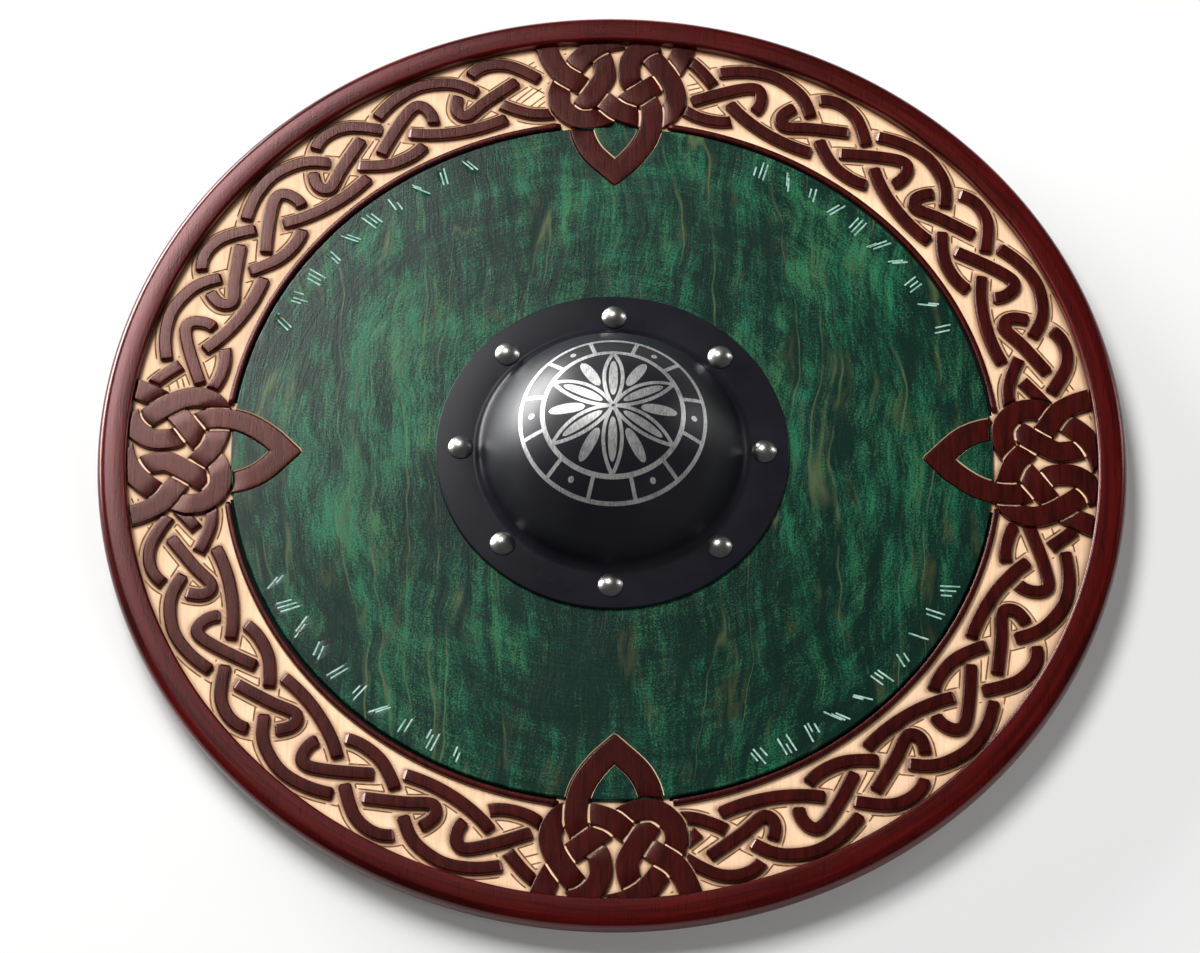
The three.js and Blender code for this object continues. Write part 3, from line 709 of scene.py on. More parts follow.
tip = (-0.9, 190.4)
knot = {
    "width": 12.9, "gap": 1.15, "turns": (-0.8, 0, 0.6, 0.8), "halfSpan": 30,
    # three strands, in mm clockwise of the knot's axis and from the middle of the shield
    "first": [(-47, 291), (-45.2, 284), (-42.8, 276.9), (-39.4, 268.8), (-33.5, 260.4), (-21.6, 252.4),
              (-7.8, 241.5), (0.6, 234.4), (11.9, 230.2), (20.5, 228.2), (27.5, 230.2), (33, 236),
              (35.3, 244), (33.1, 253.8), (26.9, 264.4), (20.6, 272.8), (14, 280), (8, 287)],
    "second": [(8, 286.5), (2.5, 286), (-7.3, 283.3), (-16.4, 277.8), (-25.5, 267.4), (-34.6, 250.3),
               (-35.4, 241.9), (-33, 235.4), (-26.3, 229.3), (-18.1, 227.6), (-7.5, 230.8), (7.8, 242.3),
               (22.5, 253.5), (30.5, 260.6), (35.2, 267.8), (40, 278.5), (44, 288)],
    "down": [(-20, 290), (-15, 282), (-9.8, 271.3), (-8, 263.1), (-8.5, 257.5), (-15.6, 244.8),
             (-20.4, 237.4), (-21.8, 228), (-21.3, 219.8), (-18.5, 211), (-13.1, 202.3), tip],
    "up": [tip, (8.1, 199.4), (16.3, 211.3), (20.3, 223.1), (20.9, 234.4), (19, 240.9), (15, 248.8),
           (8.5, 254.6), (6.9, 262.5), (7.5, 269.4), (11.3, 276), (17.5, 281.3), (25, 283.8)],
}


def knotStraps():
    half, clearance = knot["width"] / 2, knot["width"] / 2 + knot["gap"]
    first, second, down, up = (smoothPath(knot[name]) for name in ("first", "second", "down", "up"))
    strands = [first, second, down, up]

    def runOn(line):                         # a straight run past the tip, for the mitre
        along = (line[0] - line[7]) / np.linalg.norm(line[0] - line[7]) * pathStep
        return np.vstack([line[0] + along * k for k in range(40, 0, -1)] + [line])
    arms = [runOn(down[::-1])[::-1], runOn(up)]

    def cutsOf(line, overs):
        return [(i, nearStretch(over, j, False)) for over in overs for i, j in crossingsOf(line, over)]
    straps = cutStraps(first, False, cutsOf(first, [down, up]), half, clearance)
    for strap in cutStraps(second, False, cutsOf(second, [first]), half, clearance):
        straps.append(trimmed(strap, lambda p: (p[:, 1] > rimInner - 9) & (distanceTo(p, up) < clearance)))
    for arm, side in zip(arms, (1, -1)):
        for strap in cutStraps(arm, False, cutsOf(arm, [second]), half, clearance):
            if strap["path"][:, 1].min() < tip[1] + 5:
                strap = trimmed(strap, lambda p: (p[:, 1] < tip[1] + 20) & ((p[:, 0] - tip[0]) * side > 0))
                strap["mitre"] = side        # 1 ends at the mitre, -1 starts there
            straps.append(strap)
    inside = [trimmed(s, lambda p: np.hypot(p[:, 0], p[:, 1]) > rimInner - 0.4) for s in straps if s]
    return [s for s in inside if s], strands


def knotAxis(k):
    return math.radians(90 * k + knot["turns"][k])


def inKnot(points, k):                       # shield coordinates to a knot's own
    local = turnedBy(points, -knotAxis(k))
    return np.c_[-local[:, 1], local[:, 0]]


def fromKnot(points, k):
    return turnedBy(np.c_[points[:, 1], -points[:, 0]], knotAxis(k))


def borderPattern():
    circle = border["circle"]
    onCircle = [polar(circle + out, -along / circle) for along, out in border["run"]]
    loop, pitch = smoothPath(onCircle, True, 24), 2 * math.pi / border["loops"]
    passes = []
    for k in (-2, -1, 0, 1, 2):
        other = turnedBy(loop, k * pitch) if k else loop
        passes += [(i, nearStretch(other, j, True)) for i, j in crossingsOf(loop, other, True)]
    passes.sort(key=lambda one: one[0])
    half = border["width"] / 2               # over and under by turns
    return loop, cutStraps(loop, True, passes[1::2], half, half + border["gap"], True)


def isKept(strap):
    length = (np.mean(strap["stop"]) - np.mean(strap["start"])) * pathStep
    middle = strap["path"][(strap["start"][2] + strap["stop"][2]) // 2]
    return length > border["shortest"] and all(math.dist(middle, spot) > 5 for spot in border["leftOut"])


def borderStraps(strands):
    # each quarter, between two knots, takes the loops that reach into it
    loop, pattern = borderPattern()
    knotLine = np.vstack(strands)[::2]
    pitch, straps, loops = 2 * math.pi / border["loops"], [], []
    for q in range(4):
        def isOutside(points, q=q):
            blocked = np.zeros(len(points), bool)
            for k, side in ((q, 1), ((q + 1) % 4, -1)):
                local = inKnot(points, k)
                acrossIt = -local[:, 0] * side
                blocked |= (local[:, 1] > 0) & (acrossIt < knot["halfSpan"])
                near = (local[:, 1] > 0) & (acrossIt < 3 * knot["halfSpan"])
                blocked[near] |= distanceTo(local[near], knotLine) < knot["width"] / 2 + knot["gap"]
            return blocked
        for k in range(-3, 4):
            angle = (q + 0.5) * math.pi / 2 + math.radians(border["turns"][q]) + k * pitch
            loops.append((turnedBy(loop, angle), isOutside))
            for strap in pattern:
                piece = trimmed(turnedStrap(strap, angle), isOutside)
                if piece and isKept(piece):
                    straps.append(piece)
    return straps, loops


def edgePoints(strap):
    # points on both edges of a strap and across its ends
    path, out = strap["path"], strap["out"] * strap["half"]
    a, b = strap["start"], strap["stop"]
    left, right, ends = slice(a[-1], b[-1] + 1, 2), slice(a[0], b[0] + 1, 2), np.r_[a, b]
    atEnds = path[ends] + out[ends] * np.tile(across, 2)[:, None]
    return np.vstack([path[left] + out[left], path[right] - out[right], atEnds])


knotPieces, strands = knotStraps()
borderPieces, loopPaths = borderStraps(strands)
print("interlace worked out:", len(borderPieces), "border straps,", len(knotPieces), "straps in each knot")


dipLength = 8.0                              # how far back a strap starts to go down to its cover


def strapGrid(strap, rings, spacing, dip=0.0):
    # a strap whose ends follow the straps that cover it
    # rings holds (inset from the edge, height) from the foot to the flat top
    inset, level = np.array(rings).T
    half, last = strap["half"], len(rings) - 1
    inner = np.linspace(-1, 1, 5)[1:-1] * (half - inset[-1])
    sideAt = np.r_[-half + inset, inner, (half - inset)[::-1]]
    sideRing = np.r_[np.arange(last + 1), [last] * 3, np.arange(last + 1)[::-1]]
    starts = np.interp(sideAt / half, across, strap["start"])
    stops = np.interp(sideAt / half, across, strap["stop"])
    mitre = strap.get("mitre", 0)
    count = max(3, round(float((stops - starts).mean()) * pathStep / spacing))
    step = inset / pathStep
    open0, open1 = mitre == -1, mitre == 1
    head = [(0.0, s, k) for k, s in enumerate(step)] if not open0 else [(0.0, 0.0, last)]
    tail = [(1.0, -s, k) for k, s in enumerate(step)][::-1] if not open1 else [(1.0, 0.0, last)]
    fromHead, fromTail = step[-1] * (not open0), step[-1] * (not open1)
    body = [(f, fromHead * (1 - f) - fromTail * f, last) for f in np.linspace(0, 1, count + 1)[1:-1]]
    spots = np.arange(len(strap["path"]))
    points, under = [], strap["under"]
    for f, shift, k in head + body + tail:
        at = starts + (stops - starts) * f + shift
        base, out = (np.c_[np.interp(at, spots, strap[name][:, 0]), np.interp(at, spots, strap[name][:, 1])]
                     for name in ("path", "out"))
        flat = base + out * sideAt[:, None]
        if mitre and (f == 0.0 and open0 or f == 1.0 and open1):
            flat[:, 0] = tip[0]
        z = level[np.minimum(k, sideRing)]
        fall = np.zeros(len(at))
        if under[0] and not open0:
            fall += np.clip(1 - (at - starts) * pathStep / dipLength, 0, 1) ** 2
        if under[1] and not open1:
            fall += np.clip(1 - (stops - at) * pathStep / dipLength, 0, 1) ** 2
        z = z - dip * fall * (z - level[0]) / (level[-1] - level[0])
        points.append(np.c_[flat, z])
    return np.array(points)


def gridFaces(rows, columns, first=0, mitre=0):
    # the top and sides, and one face below; at a mitre the two arms are left open to each other
    def at(i, j):
        return first + i * columns + j
    faces = [(at(i, j), at(i + 1, j), at(i + 1, j + 1), at(i, j + 1))
             for i in range(rows - 1) for j in range(columns - 1)]
    right, left = ([at(i, j) for i in range(rows)] for j in (0, columns - 1))
    end = [] if mitre == 1 else [at(rows - 1, j) for j in range(1, columns - 1)]
    start = [] if mitre == -1 else [at(0, j) for j in range(columns - 2, 0, -1)]
    return faces + [tuple(reversed(right + end + left[::-1] + start))]


def gridPiece(name, grids, materials):
    # grids holds (points, mitre)
    points, faces = [], []
    for grid, mitre in grids:
        faces += gridFaces(grid.shape[0], grid.shape[1], len(points), mitre)
        points += grid.reshape(-1, 3).tolist()
    piece = meshPiece(name, points, faces, materials)
    mend(piece.data, outwards=False)
    return piece


def knotGrids(straps, rings, spacing, dip=0.0):
    # the two arms of the pointed turn share the row of points at their mitre
    grids = []
    for strap in straps:
        grid = strapGrid(strap, rings, spacing, dip)
        if strap.get("mitre") == 1:
            shared = grid[-1]
        grids.append((strap, grid))
    for strap, grid in grids:
        if strap.get("mitre") == -1:
            grid[0] = shared
    return [(grid, strap.get("mitre", 0)) for strap, grid in grids]


def placedInKnot(grid, k):
    flat = fromKnot(grid.reshape(-1, 3)[:, :2], k).reshape(*grid.shape[:2], 2)
    return np.concatenate([flat, grid[..., 2:]], axis=2)


# the outline of a strap's edge, and how far its ends go down, in the knots and in the border
strapEdge = {"spread": 0.3, "round": 0.9, "knotRound": 0.55, "dip": 0.4, "borderDip": 0.12,
             "ends": (1.6, 0.7), "mostSkew": 1.2}


def strapRings(r):
    return [(-strapEdge["spread"], footZ), (0.0, faceZ - r)] + [
        (r * (1 - math.cos(a)), faceZ - r * (1 - math.sin(a))) for a in np.radians((30, 60, 90))]


def isSkewed(strap):
    return max(np.ptp(strap["start"]), np.ptp(strap["stop"])) * pathStep > strapEdge["mostSkew"]


grids = knotGrids(knotPieces, strapRings(strapEdge["knotRound"]), 1.6, strapEdge["dip"])
bigGrids = [(placedInKnot(grid, k), mitre) for k in range(4) for grid, mitre in grids]
skewed = [strap for strap in borderPieces if isSkewed(strap)]
square = [strap for strap in borderPieces if not isSkewed(strap)]
knotwork = flatTops(gridPiece("knot_straps", bigGrids, [strapWood]))
rings = strapRings(strapEdge["round"])
skewedGrids = [(strapGrid(strap, rings, 1.8, strapEdge["borderDip"]), 0) for strap in skewed]
cutEnds = flatTops(gridPiece("cut_border_straps", skewedGrids, [strapWood]))
lines = [[(x, y, footZ) for x, y in s["path"][s["start"][2]:s["stop"][2] + 1:3]] for s in square]
straps = flatTops(swept(
    "border_straps", lines, strapWood, border["width"], faceZ - footZ, strapEdge["round"],
    spread=strapEdge["spread"], ends=strapEdge["ends"], dip=(strapEdge["borderDip"], 7.0)))
print("straps made:", len(square), "swept,", len(skewed), "with cut ends,", len(bigGrids), "in the knots")

bead = {"inner": 224.0, "outer": 227.5, "stopsShort": (8.6, 7.8), "round": 0.9}


def beadLines():
    # round the field from knot to knot
    radius = (bead["inner"] + bead["outer"]) / 2
    lines = []
    for k in range(4):
        start = knotAxis(k) + math.radians(bead["stopsShort"][0])
        stop = knotAxis((k + 1) % 4) + (2 * math.pi if k == 3 else 0) - math.radians(bead["stopsShort"][1])
        lines.append([(*polar(radius, a), footZ) for a in np.linspace(start, stop, 180)])
    return lines


beadRing = swept("bead", beadLines(), strapWood, bead["outer"] - bead["inner"], faceZ - footZ, bead["round"],
                 spread=0.15, ends=(1.0, 0.75))

bedTop = faceZ - 1.6                         # bare wood seen in the narrow cuts between knot straps


def bedLines():
    lines = []
    for k in range(4):
        for strand in strands:
            inside = strand[(np.hypot(*strand.T) < rimInner - 7) & (strand[:, 1] > fieldRadius + 6)]
            lines.append([(x, y, footZ) for x, y in fromKnot(inside, k)[::4]])
    return lines


beds = swept("knot_beds", bedLines(), birch, knot["width"] - 1.8, bedTop - footZ, 0.2)

panel = {"columns": 1120, "groundStep": 1.4, "handHole": 62.0, "holeRound": 1.2, "fieldRound": 0.5,
         # the groove round each pointed turn: its depth, where on its wall the painted shade starts (in and
         # down, mm), and its width
         "grooveDepth": 1.8, "grooveShadeStart": (0.7, 0.9), "grooveWidth": 1.25, "greenDepth": 1.3,
         # half width and start, along a knot's axis, of its pointed turn and of the opening inside it,
         # and how far the green goes up that opening in each knot
         "turn": (32, 176), "opening": (15, 200), "greenTo": (221.6, 238.0, 221.6, 221.6),
         "marksFrom": 200, "shadeReach": 1.7}


def panelProfile():
    # (radius, height) anticlockwise round the section, from the hand hole's lower edge
    low, high, r, top = panel["handHole"], fieldRadius, panel["holeRound"], panel["fieldRound"]
    profile = arcPoints((low + r, backZ + r), r, 180, 270, 4)
    profile += [(150, backZ), (boardRadius - 0.5, backZ), (boardRadius, backZ + 0.5), (boardRadius, groundZ)]
    steps = round((boardRadius - high - 1) / panel["groundStep"])
    profile += [(boardRadius + (high + 0.6 - boardRadius) * k / steps, groundZ) for k in range(1, steps + 1)]
    profile.append((high + 0.3, faceZ - panel["greenDepth"]))
    profile += arcPoints((high - top, faceZ - top), top, 15, 90, 4)
    profile += [(radius, faceZ) for radius in (219.5, 203, 190, 150, 100)]
    return profile + arcPoints((low + r, faceZ - r), r, 90, 180, 4)[:-1] + [(low, faceZ - r)]


marks = {"perGroup": 10, "radius": 212.0, "span": 21.0, "height": 11.5, "halfWidth": 0.62, "depth": 0.38,
         "spacing": 2.9}


def markPoints():
    # four rows of ten marks, each two or three strokes that lie side by side
    points, long, lean = [], [], []
    for q in range(4):
        middle = math.radians(45 + 90 * q + border["turns"][q] - 1.4)
        for m in range(marks["perGroup"]):
            angle = middle + math.radians(marks["span"]) * (1 - 2 * m / (marks["perGroup"] - 1))
            tilt = rng.uniform(-0.6, 0.6)
            count = int(rng.integers(2, 4))
            for k in range(count):
                side = (k - (count - 1) / 2) * marks["spacing"]
                size = marks["height"] * rng.choice((0.55, 0.8, 1.0))
                shift = rng.choice((-0.5, 0.0, 0.5)) * (marks["height"] - size)
                radius = marks["radius"] + shift * math.cos(tilt) + side * math.sin(tilt)
                turn = angle + (side * math.cos(tilt) - shift * math.sin(tilt)) / marks["radius"]
                points.append((*polar(radius, turn), faceZ + 0.02))
                long.append(size * mm)
                lean.append(turn - math.pi / 2 + tilt)
    return points, long, lean


def cutterOf(points, long, lean):
    piece = meshPiece("stroke_cutter", points, [], [])
    for name, values in (("long", long), ("lean", lean)):
        piece.data.attributes.new(name, "FLOAT", "POINT").data.foreach_set("value", values)
    return grow(piece, strokes, {"Half Width": marks["halfWidth"] * 2 / math.sqrt(3) * mm,
                                 "Depth": marks["depth"] * mm, "Material": cutPaint})


def carve(piece, cutter):
    cut = piece.modifiers.new("cut", "BOOLEAN")
    cut.operation, cut.solver, cut.object = "DIFFERENCE", "MANIFOLD", cutter
    evaluated(piece)
    bpy.data.objects.remove(cutter)


def grooveCutter():
    # a groove with leaning walls round the pointed turn of each knot
    # the middle ring of each wall is where the painted shade below it starts
    out, down = panel["grooveShadeStart"]
    walls = [(-0.1, faceZ - panel["grooveDepth"]), (-out, faceZ - down), (-panel["grooveWidth"], faceZ + 0.4)]
    pointed = knotGrids([strap for strap in knotPieces if strap.get("mitre")], walls, 1.2)
    turned = [(placedInKnot(grid, k), mitre) for k in range(4) for grid, mitre in pointed]
    return gridPiece("groove_cutter", turned, [birch])


panelSlots = [birch, green, cutPaint, backWood, shade]


def paintPanel(mesh):
    # green on the field, bare wood on the carved ground, paint in the strokes, and painted shade deep in the
    # grooves
    inBirch, inGreen, inPaint, inBack, inShade = range(len(panelSlots))
    count = len(mesh.polygons)
    centre, normal = np.empty(count * 3), np.empty(count * 3)
    mesh.polygons.foreach_get("center", centre)
    mesh.polygons.foreach_get("normal", normal)
    centre, normal = centre.reshape(-1, 3) / mm, normal.reshape(-1, 3)
    radius, height = np.hypot(centre[:, 0], centre[:, 1]), centre[:, 2]
    slot = np.full(count, inBirch)
    (turnHalf, turnFrom), (openHalf, openFrom) = panel["turn"], panel["opening"]
    onTop = height > groundZ + 0.2
    slot[onTop & (radius < fieldRadius + 0.5)] = inGreen
    inTurn = np.zeros(count, bool)
    for k in range(4):
        local = inKnot(centre[:, :2], k)
        beside, out = np.abs(local[:, 0]), local[:, 1]
        nearTurn = (out > turnFrom) & (beside < turnHalf)
        inGroove = nearTurn & onTop & (radius < fieldRadius - 0.6) & (normal[:, 2] < 0.95)
        # the lower part of each groove wall takes painted shade
        slot[inGroove] = np.where(height[inGroove] < faceZ - panel["grooveShadeStart"][1], inShade, inBirch)
        inside = (beside < openHalf) & (out > openFrom) & (out < panel["greenTo"][k])
        slot[inside & (radius > fieldRadius) & (normal[:, 2] > 0.9)] = inGreen
        inTurn |= nearTurn
    inRow = (radius > panel["marksFrom"]) & (radius < fieldRadius - 1.2) & ~inTurn
    slot[inRow & onTop & (height < faceZ - 0.03)] = inPaint
    # painted shade in the narrow groove between the field and the bead
    atEdge = (radius > fieldRadius - 0.6) & (radius < bead["inner"] + 0.5) & ~inTurn
    slot[atEdge & (height < faceZ - panel["greenDepth"])] = inShade
    slot[(normal[:, 2] < -0.3) | (radius < panel["handHole"] + 1.0) | (radius > boardRadius - 0.3)] = inBack
    mesh.polygons.foreach_set("material_index", slot)


def treeOf(points):
    # finds the nearest of many points in the plane
    tree = KDTree(len(points))
    for i, (x, y) in enumerate(points):
        tree.insert((x, y, 0), i)
    tree.balance()
    return tree


def footShade(mesh):
    # how near each point of the ground is to the foot of a strap or to the hoop's inner edge, 1 at the foot;
    # it places painted shade, with some brown stain, on the bare wood
    feet = [edgePoints(strap) for strap in borderPieces]
    feet += [fromKnot(edgePoints(strap), k) for k in range(4) for strap in knotPieces]
    tree = treeOf(np.vstack(feet))
    points = np.empty(len(mesh.vertices) * 3)
    mesh.vertices.foreach_get("co", points)
    points = points.reshape(-1, 3) / mm
    radius = np.hypot(points[:, 0], points[:, 1])
    near = np.zeros(len(points))
    for i in np.flatnonzero((radius > fieldRadius) & (points[:, 2] > groundZ - 0.2)):
        # the hoop's inner edge counts as a foot, for the painted shadow under the hoop
        away = min(tree.find((points[i, 0], points[i, 1], 0))[2], (rimInner - radius[i]) * 0.8)
        near[i] = math.exp(-(max(away, 0) / panel["shadeReach"]) ** 2)
    mesh.attributes.new("foot", "FLOAT", "POINT").data.foreach_set("value", near)


carved = turnedPiece("carved_panel", panelProfile(), panel["columns"], panelSlots)
carve(carved, grooveCutter())
carve(carved, cutterOf(*markPoints()))
carved.data.materials.clear()
for material in panelSlots:
    carved.data.materials.append(material)
paintPanel(carved.data)
footShade(carved.data)
smoothShade(carved.data, 25)
carved = flatTops(carved)
print("panel carved:", len(carved.data.polygons), "faces")

# the rows hold how far out of the edge that a strap has or would have, and how far clear of every strap
scribe = {"rows": [(2.3, 1.3), (-1.0, 0.9)], "width": 0.95, "height": 0.09, "sunk": 0.05,
          "shortest": 2.6, "longest": 30.0, "share": 0.92}


def scribeLines():
    # each loop's edges drawn a little wide, where they come clear of every strap
    tree = treeOf(np.vstack([s["path"][min(s["start"]):max(s["stop"]) + 1] for s in borderPieces]))
    bigTree = treeOf(np.vstack([fromKnot(strand, k) for k in range(4) for strand in strands]))
    lines = []
    for loop, isOutside in loopPaths:
        out = normalsOf(loop, True)
        for side, (offset, clear) in [(side, row) for side in (-1, 1) for row in scribe["rows"]]:
            line = loop + out * side * (border["width"] / 2 + offset)
            blocked = isOutside(line)
            radius = np.hypot(line[:, 0], line[:, 1])
            blocked |= (radius > rimInner - 1) | (radius < bead["outer"] + 1)
            for i in np.flatnonzero(~blocked):
                point = (line[i, 0], line[i, 1], 0)
                blocked[i] = (tree.find(point)[2] < border["width"] / 2 + clear
                              or bigTree.find(point)[2] < knot["width"] / 2 + clear)
            edges = np.flatnonzero(np.diff(np.r_[0, (~blocked).astype(int), 0]))
            for a, b in zip(edges[::2], edges[1::2]):
                length = (b - a) * pathStep
                if scribe["shortest"] < length < scribe["longest"] and rng.random() < scribe["share"]:
                    lines.append([(x, y, groundZ - scribe["sunk"]) for x, y in line[a:b:3]])
    return [line for line in lines if len(line) > 2]


scribed = swept("scribed_lines", scribeLines(), ink, scribe["width"], scribe["height"], 0.02, spread=0.05,
                ends=(1.5, 0.3), level=groundZ - scribe["sunk"])
print("layout lines scribed")

hoop = {"segments": 360, "outerRound": 5.0, "innerRound": 1.6, "backRound": 2.0, "gap": 0.3}


def hoopProfile():
    top, out, inner = rimHigh[2], rimHigh[0], rimInner
    r, s, b = hoop["outerRound"], hoop["innerRound"], hoop["backRound"]
    profile = [(boardRadius + hoop["gap"], backZ)] + arcPoints((out - b, backZ + b), b, 270, 360, 5)
    profile += arcPoints((out - r, top - r), r, 0, 90, 9)
    profile += [((inner + out) / 2, top)] + arcPoints((inner + s, top - s), s, 90, 180, 6)
    return profile + [(inner, groundZ + hoop["gap"]), (boardRadius + hoop["gap"], groundZ + hoop["gap"])]


hoopRing = turnedPiece("hoop", hoopProfile(), hoop["segments"], [hoopWood])

boss = {"segments": 192, "sheet": 2.0, "domeRadius": 82.0, "fillet": 7.0, "flangeRound": 0.8,
        "apexDrop": 0.15}                    # how far the smooth top stays below the solid's
flangeTop = bossLow[2] + boss["sheet"]
domeCentre = bossHigh[2] - boss["domeRadius"]


def shellProfile(thickness, domePoints, filletPoints):
    filletZ = flangeTop + boss["fillet"]
    reach = boss["domeRadius"] + boss["fillet"]
    filletR = math.sqrt(reach ** 2 - (filletZ - domeCentre) ** 2)
    lean = math.degrees(math.atan2(filletZ - domeCentre, filletR))
    radius = boss["domeRadius"] - thickness
    dome = arcPoints((0, domeCentre), radius, lean, 90, domePoints)
    dome[-1] = (0, domeCentre + radius)
    return arcPoints((filletR, filletZ), boss["fillet"] + thickness, 270, 180 + lean, filletPoints) + dome[1:]


def bossProfile():
    r, e = bossHigh[0], boss["flangeRound"]
    outer, inner = shellProfile(boss["apexDrop"], 40, 12), shellProfile(boss["sheet"], 24, 8)
    return inner[::-1] + [(r, bossLow[2])] + arcPoints((r - e, flangeTop - e), e, 0, 90, 5) + outer


def domeHeight(radius):
    return domeCentre + np.sqrt((boss["domeRadius"] - boss["apexDrop"]) ** 2 - np.asarray(radius) ** 2)


bossShell = turnedPiece("boss_shell", bossProfile(), boss["segments"], [steel])

# two rings with bars and dots between them, six petals, and a leaf and a leaflet beside each
ornament = {"outer": 53.4, "outerWidth": 2.0, "inner": 40.6, "innerWidth": 2.6, "bars": 12, "barWidth": 2.3,
            "dotsAt": 46.9, "dot": 1.7, "petalReach": 39.9, "petalWidth": 2.1, "leaf": (7, 33, 5.2),
            "leaflet": (16, 37, 6.4), "proud": 0.12, "depth": 0.45}


def ringLine(radius, count, middle=(0, 0)):
    return [(x, y, 0) for x, y in arcPoints(middle, radius, 0, 360 - 360 / count, count)]


def spoke(inner, outer, degrees):
    count = max(3, round(outer - inner))
    return [(*polar(r, math.radians(degrees)), 0) for r in np.linspace(inner, outer, count)]


def petalArcs():
    # six arcs through the middle, each about a point of the inner circle, as compasses draw them
    reach = ornament["petalReach"]
    arcs = []
    for k in range(6):
        centre = polar(reach, math.radians(60 * k + 30))
        arcs.append([(x, y, 0) for x, y in arcPoints(centre, reach, 60 * k + 90, 60 * k + 330, 82)[20:62]])
    return arcs


def engrave(name, lines, width, closed=False, ends=(0.6, 0.7), raised=0.0):
    # flat strokes, then wrapped on to the dome
    piece = swept(name, lines, engraved, width, ornament["depth"], 0.06, spread=0.05, level=0.0,
                  ends=(ends[0], 1.0 if closed else ends[1]), closed=closed)
    for vertex in piece.data.vertices:
        radius = math.hypot(vertex.co.x, vertex.co.y) / mm
        rise = 0 if vertex.co.z > 1e-6 else -ornament["depth"]
        vertex.co.z = (domeHeight(radius) + ornament["proud"] + raised + rise) * mm
    return piece


def bossOrnament():
    o, pitch = ornament, 360 / ornament["bars"]
    bars = [spoke(o["inner"], o["outer"], pitch * (k + 0.5)) for k in range(o["bars"])]
    spots = [polar(o["dotsAt"], math.radians(pitch * k)) for k in range(0, o["bars"], 2)]
    dots = [ringLine(o["dot"] * 0.58, 12, spot) for spot in spots]
    leaves, leaflets = [[spoke(*o[name][:2], 60 * k + turn) for k in range(6)]
                        for name, turn in (("leaf", 30), ("leaflet", 0))]
    # each part lies at a level of its own, so that no two faces fall together where they cross
    parts = [
        engrave("outer_ring", [ringLine(o["outer"], 240)], o["outerWidth"], closed=True),
        engrave("inner_ring", [ringLine(o["inner"], 200)], o["innerWidth"], closed=True, raised=0.01),
        engrave("bars", bars, o["barWidth"], raised=-0.01),
        engrave("dots", dots, o["dot"] * 0.84, closed=True),
        engrave("petals", petalArcs(), o["petalWidth"], raised=-0.02),
        engrave("leaves", leaves, o["leaf"][2], ends=(13, 0.05), raised=-0.03),
        engrave("leaflets", leaflets, o["leaflet"][2], ends=(10, 0.05), raised=-0.03)]
    joined = bmesh.new()
    for part in parts:
        joined.from_mesh(part.data)
        bpy.data.objects.remove(part)
    mesh = bpy.data.meshes.new("boss_ornament")
    joined.to_mesh(mesh)
    joined.free()
    mesh.materials.append(engraved)
    return inScene("boss_ornament", mesh)


ornamented = bossOrnament()
print("ornament engraved")

rivet = {"head": 7.5, "headHeight": 4.0, "shank": 2.6, "tail": 5.0, "tailHeight": 2.6, "segments": 40}


def rivetProfile(low, high):
    seat = high - rivet["headHeight"]
    sphere = (rivet["head"] ** 2 + rivet["headHeight"] ** 2) / (2 * rivet["headHeight"])
    centre = high - sphere
    edge = math.degrees(math.asin((seat + 0.25 - centre) / sphere))
    head = arcPoints((0, centre), sphere, edge, 90, 12)
    head[-1] = (0, high)
    ledge, squash = low + rivet["tailHeight"], rivet["tailHeight"] / rivet["tail"]
    tail = [(r, ledge - (ledge - z) * squash) for r, z in arcPoints((0, ledge), rivet["tail"], 270, 360, 7)]
    tail[0] = (0, low)
    return tail + [(rivet["shank"], ledge), (rivet["shank"], seat), (rivet["head"] - 0.1, seat)] + head


def rivetRing(name, low, high, throughGrip, seed):
    one = turnedPiece(name, rivetProfile(low, high), rivet["segments"], [nickel])
    return grow(one, ring, {"Count": 8, "Circle": rivetCircle * mm, "Every": 4, "Keep Every": throughGrip,
                            "Seed": seed, "Material": nickel}, 40)


plainRivets = rivetRing("rivets", rivetLow[2], rivetHigh[2], False, 3)
gripRivets = rivetRing("grip_rivets", gripRivetLow[2], gripRivetHigh[2], True, 5)
print("boss, hoop and rivets made")

grip = {"waist": 30.0, "round": 3.6, "stations": 90, "rings": 7, "bore": 6.5, "boreTop": 4.0}


def gripOutline(inset):
    # half an outline bowed in to the waist, with round ends, mirrored for the other side
    half, end = gripHigh[0] - inset, gripHigh[1] - inset
    reach = half - end
    waist = grip["waist"] / 2 - inset
    x = np.linspace(-reach, reach, grip["stations"])
    side = [(v, waist + (end - waist) * (v / reach) ** 2) for v in x]
    cap = arcPoints((reach, 0), end, 90, -90, 24)[1:-1]
    upper = side + cap
    return np.array(upper + [(-u, -v) for u, v in upper])


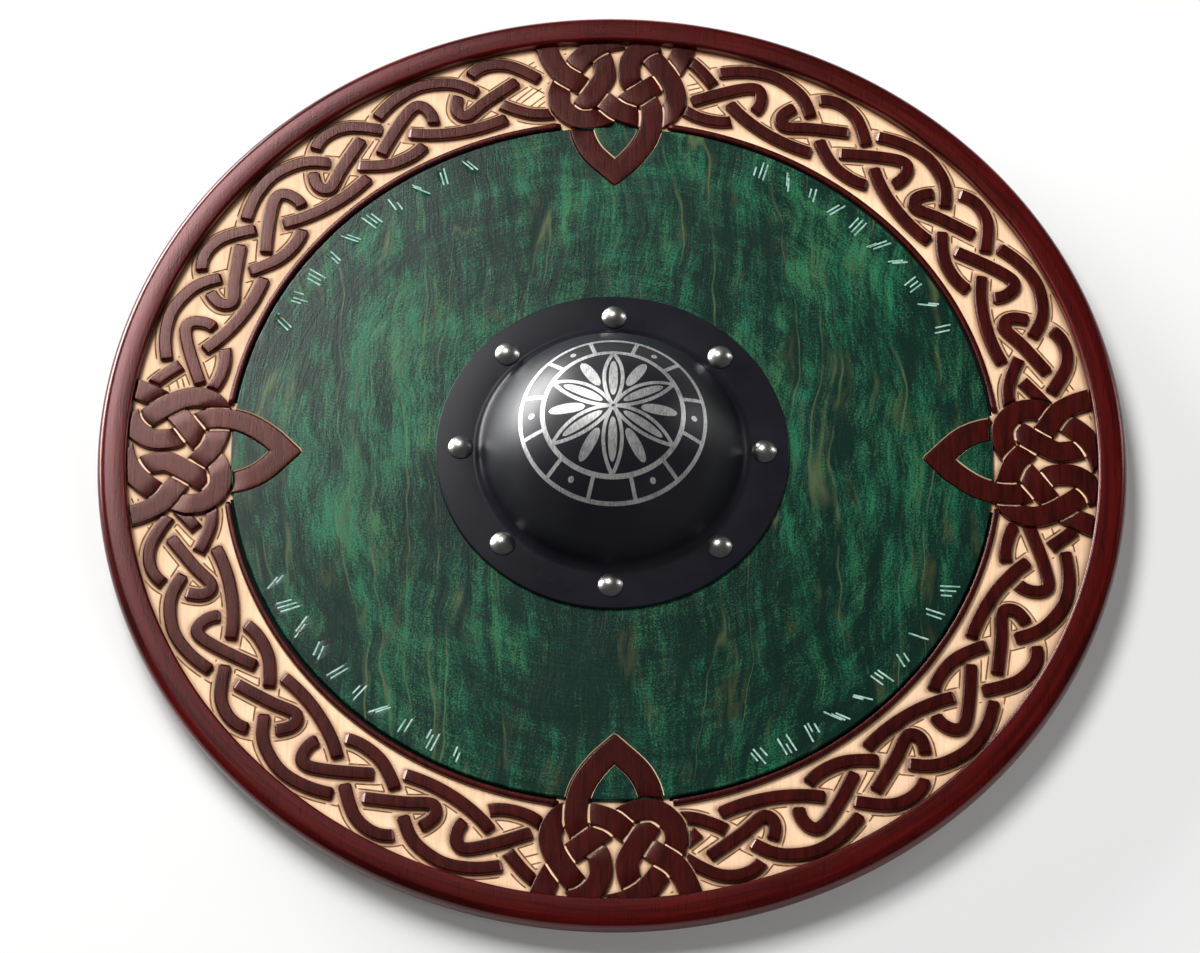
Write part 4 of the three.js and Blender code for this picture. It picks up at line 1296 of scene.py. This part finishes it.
def gripPiece():
    low, high, r = gripLow[2], gripHigh[2], grip["round"]
    turns = np.linspace(0, math.pi / 2, grip["rings"])
    section = [(r * (1 - math.sin(a)), low + r * (1 - math.cos(a))) for a in turns]
    section += [(inset, low + high - z) for inset, z in section[::-1]]
    points, faces = [], []
    for inset, z in section:
        points += [(x, y, z) for x, y in gripOutline(inset)]
    count = len(points) // len(section)
    for k in range(len(section) - 1):
        for i in range(count):
            j = (i + 1) % count
            faces.append((k * count + i, k * count + j, (k + 1) * count + j, (k + 1) * count + i))
    faces.append(tuple(range(count)))
    faces.append(tuple(range((len(section) - 1) * count, len(section) * count)))
    piece = meshPiece("grip_bar", points, faces, [gripWood])
    mend(piece.data, 35)
    # bores for the sunk tails, with clearance round the shanks
    wide, narrow, step = grip["bore"], rivet["shank"] + 0.3, grip["boreTop"]
    profile = [(0, low - 1), (wide, low - 1), (wide, step), (narrow, step)]
    profile += [(narrow, high + 1), (0, high + 1)]
    for side in (-1, 1):
        bore = turnedPiece("grip_bore", profile, 36, [gripWood])
        bore.data.transform(Matrix.Translation((side * rivetCircle * mm, 0, 0)))
        carve(piece, bore)
    piece.data.name = piece.name
    smoothShade(piece.data, 35)
    return piece


gripBar = gripPiece()
print("grip made")

# the camera's aim is in mm from the middle of the floor below the shield, its lift and roll in degrees
studio = {
    "floor": (0.73, 0.73, 0.725), "floorSize": 6000.0, "world": 0.05, "worldTint": (0.95, 0.97, 1.0),
    "aim": (-7.0, -16.7, 22.3), "lift": 61.83, "distance": 2869.0, "lens": 147.6, "roll": 0.54,
    # name, place and size in metres, power, and whether the shield mirrors the lamp
    "lamps": [("key", (-2.30, 2.00, 0.52), (2.4, 1.0), 165, True),
              ("sheen", (-0.80, 1.68, 2.36), (0.9, 0.9), 28, True),
              ("edge", (1.90, 1.10, 0.70), (0.4, 1.0), 5, True),
              ("top", (-1.25, 1.10, 3.00), (1.6, 1.6), 92, False),
              ("fill", (1.70, -1.70, 1.60), (1.6, 1.6), 30, False)]}


def floorPiece():
    paleFloor = finished(newFinish("paleFloor")[0], {"Base Color": (*studio["floor"], 1), "Roughness": 0.9})
    size = studio["floorSize"]
    corners = [(-size, -size, 0), (size, -size, 0), (size, size, 0), (-size, size, 0)]
    return meshPiece("floor", corners, [(0, 1, 2, 3)], [paleFloor])


def softbox(name, spot, size, power, mirrored):
    # a soft lamp that faces the shield; one that isn't mirrored lights without a highlight of its own
    light = bpy.data.lights.new(name, "AREA")
    light.shape, light.size, light.size_y = "ELLIPSE", size[0], size[1]
    light.energy = power
    lamp = inScene(name, light)
    lamp.location = spot
    lamp.rotation_euler = (-Vector(spot)).to_track_quat("-Z", "Y").to_euler()
    lamp.visible_glossy = mirrored


def setStage():
    floorPiece()
    world = bpy.data.worlds.new("studioWorld")
    world.use_nodes = True
    background = world.node_tree.nodes["Background"].inputs
    background["Color"].default_value = (*studio["worldTint"], 1)
    background["Strength"].default_value = studio["world"]
    bpy.context.scene.world = world
    for lamp in studio["lamps"]:
        softbox(*lamp)
    lift = math.radians(studio["lift"])
    camera = bpy.data.cameras.new("camera")
    camera.lens, camera.sensor_width, camera.clip_end = studio["lens"], 36.0, 50
    eye = inScene("camera", camera)
    away = Vector((0, -math.cos(lift), math.sin(lift))) * studio["distance"]
    eye.location = (Vector((0, 0, faceZ)) + away) * mm
    look = (Vector(studio["aim"]) * mm - eye.location).to_track_quat("-Z", "Y")
    eye.rotation_euler = (look.to_matrix() @ Matrix.Rotation(math.radians(studio["roll"]), 3, "Z")).to_euler()
    bpy.context.scene.camera = eye


setStage()
bpy.context.scene.view_settings.view_transform = "Standard"

# each slot's pieces; they hang from the root, and the solids they stand in for are hidden
slots = {"carved_wood": [carved, knotwork, cutEnds, straps, beadRing, beds, scribed], "rim_wood": [hoopRing],
         "black_steel": [bossShell, ornamented], "nickel": [plainRivets, gripRivets], "grip_wood": [gripBar]}
pieces = [(piece, slot) for slot, group in slots.items() for piece in group]
for piece, slot in pieces:
    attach(piece, "root")
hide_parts("board")
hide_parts("rim")
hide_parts("boss")
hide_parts("grip")
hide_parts("rivet_2", "rivet_3", "rivet_4", "rivet_6", "rivet_7", "rivet_8")
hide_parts("rivet_1", "rivet_5")

print("scene finished:", len(pieces), "pieces")
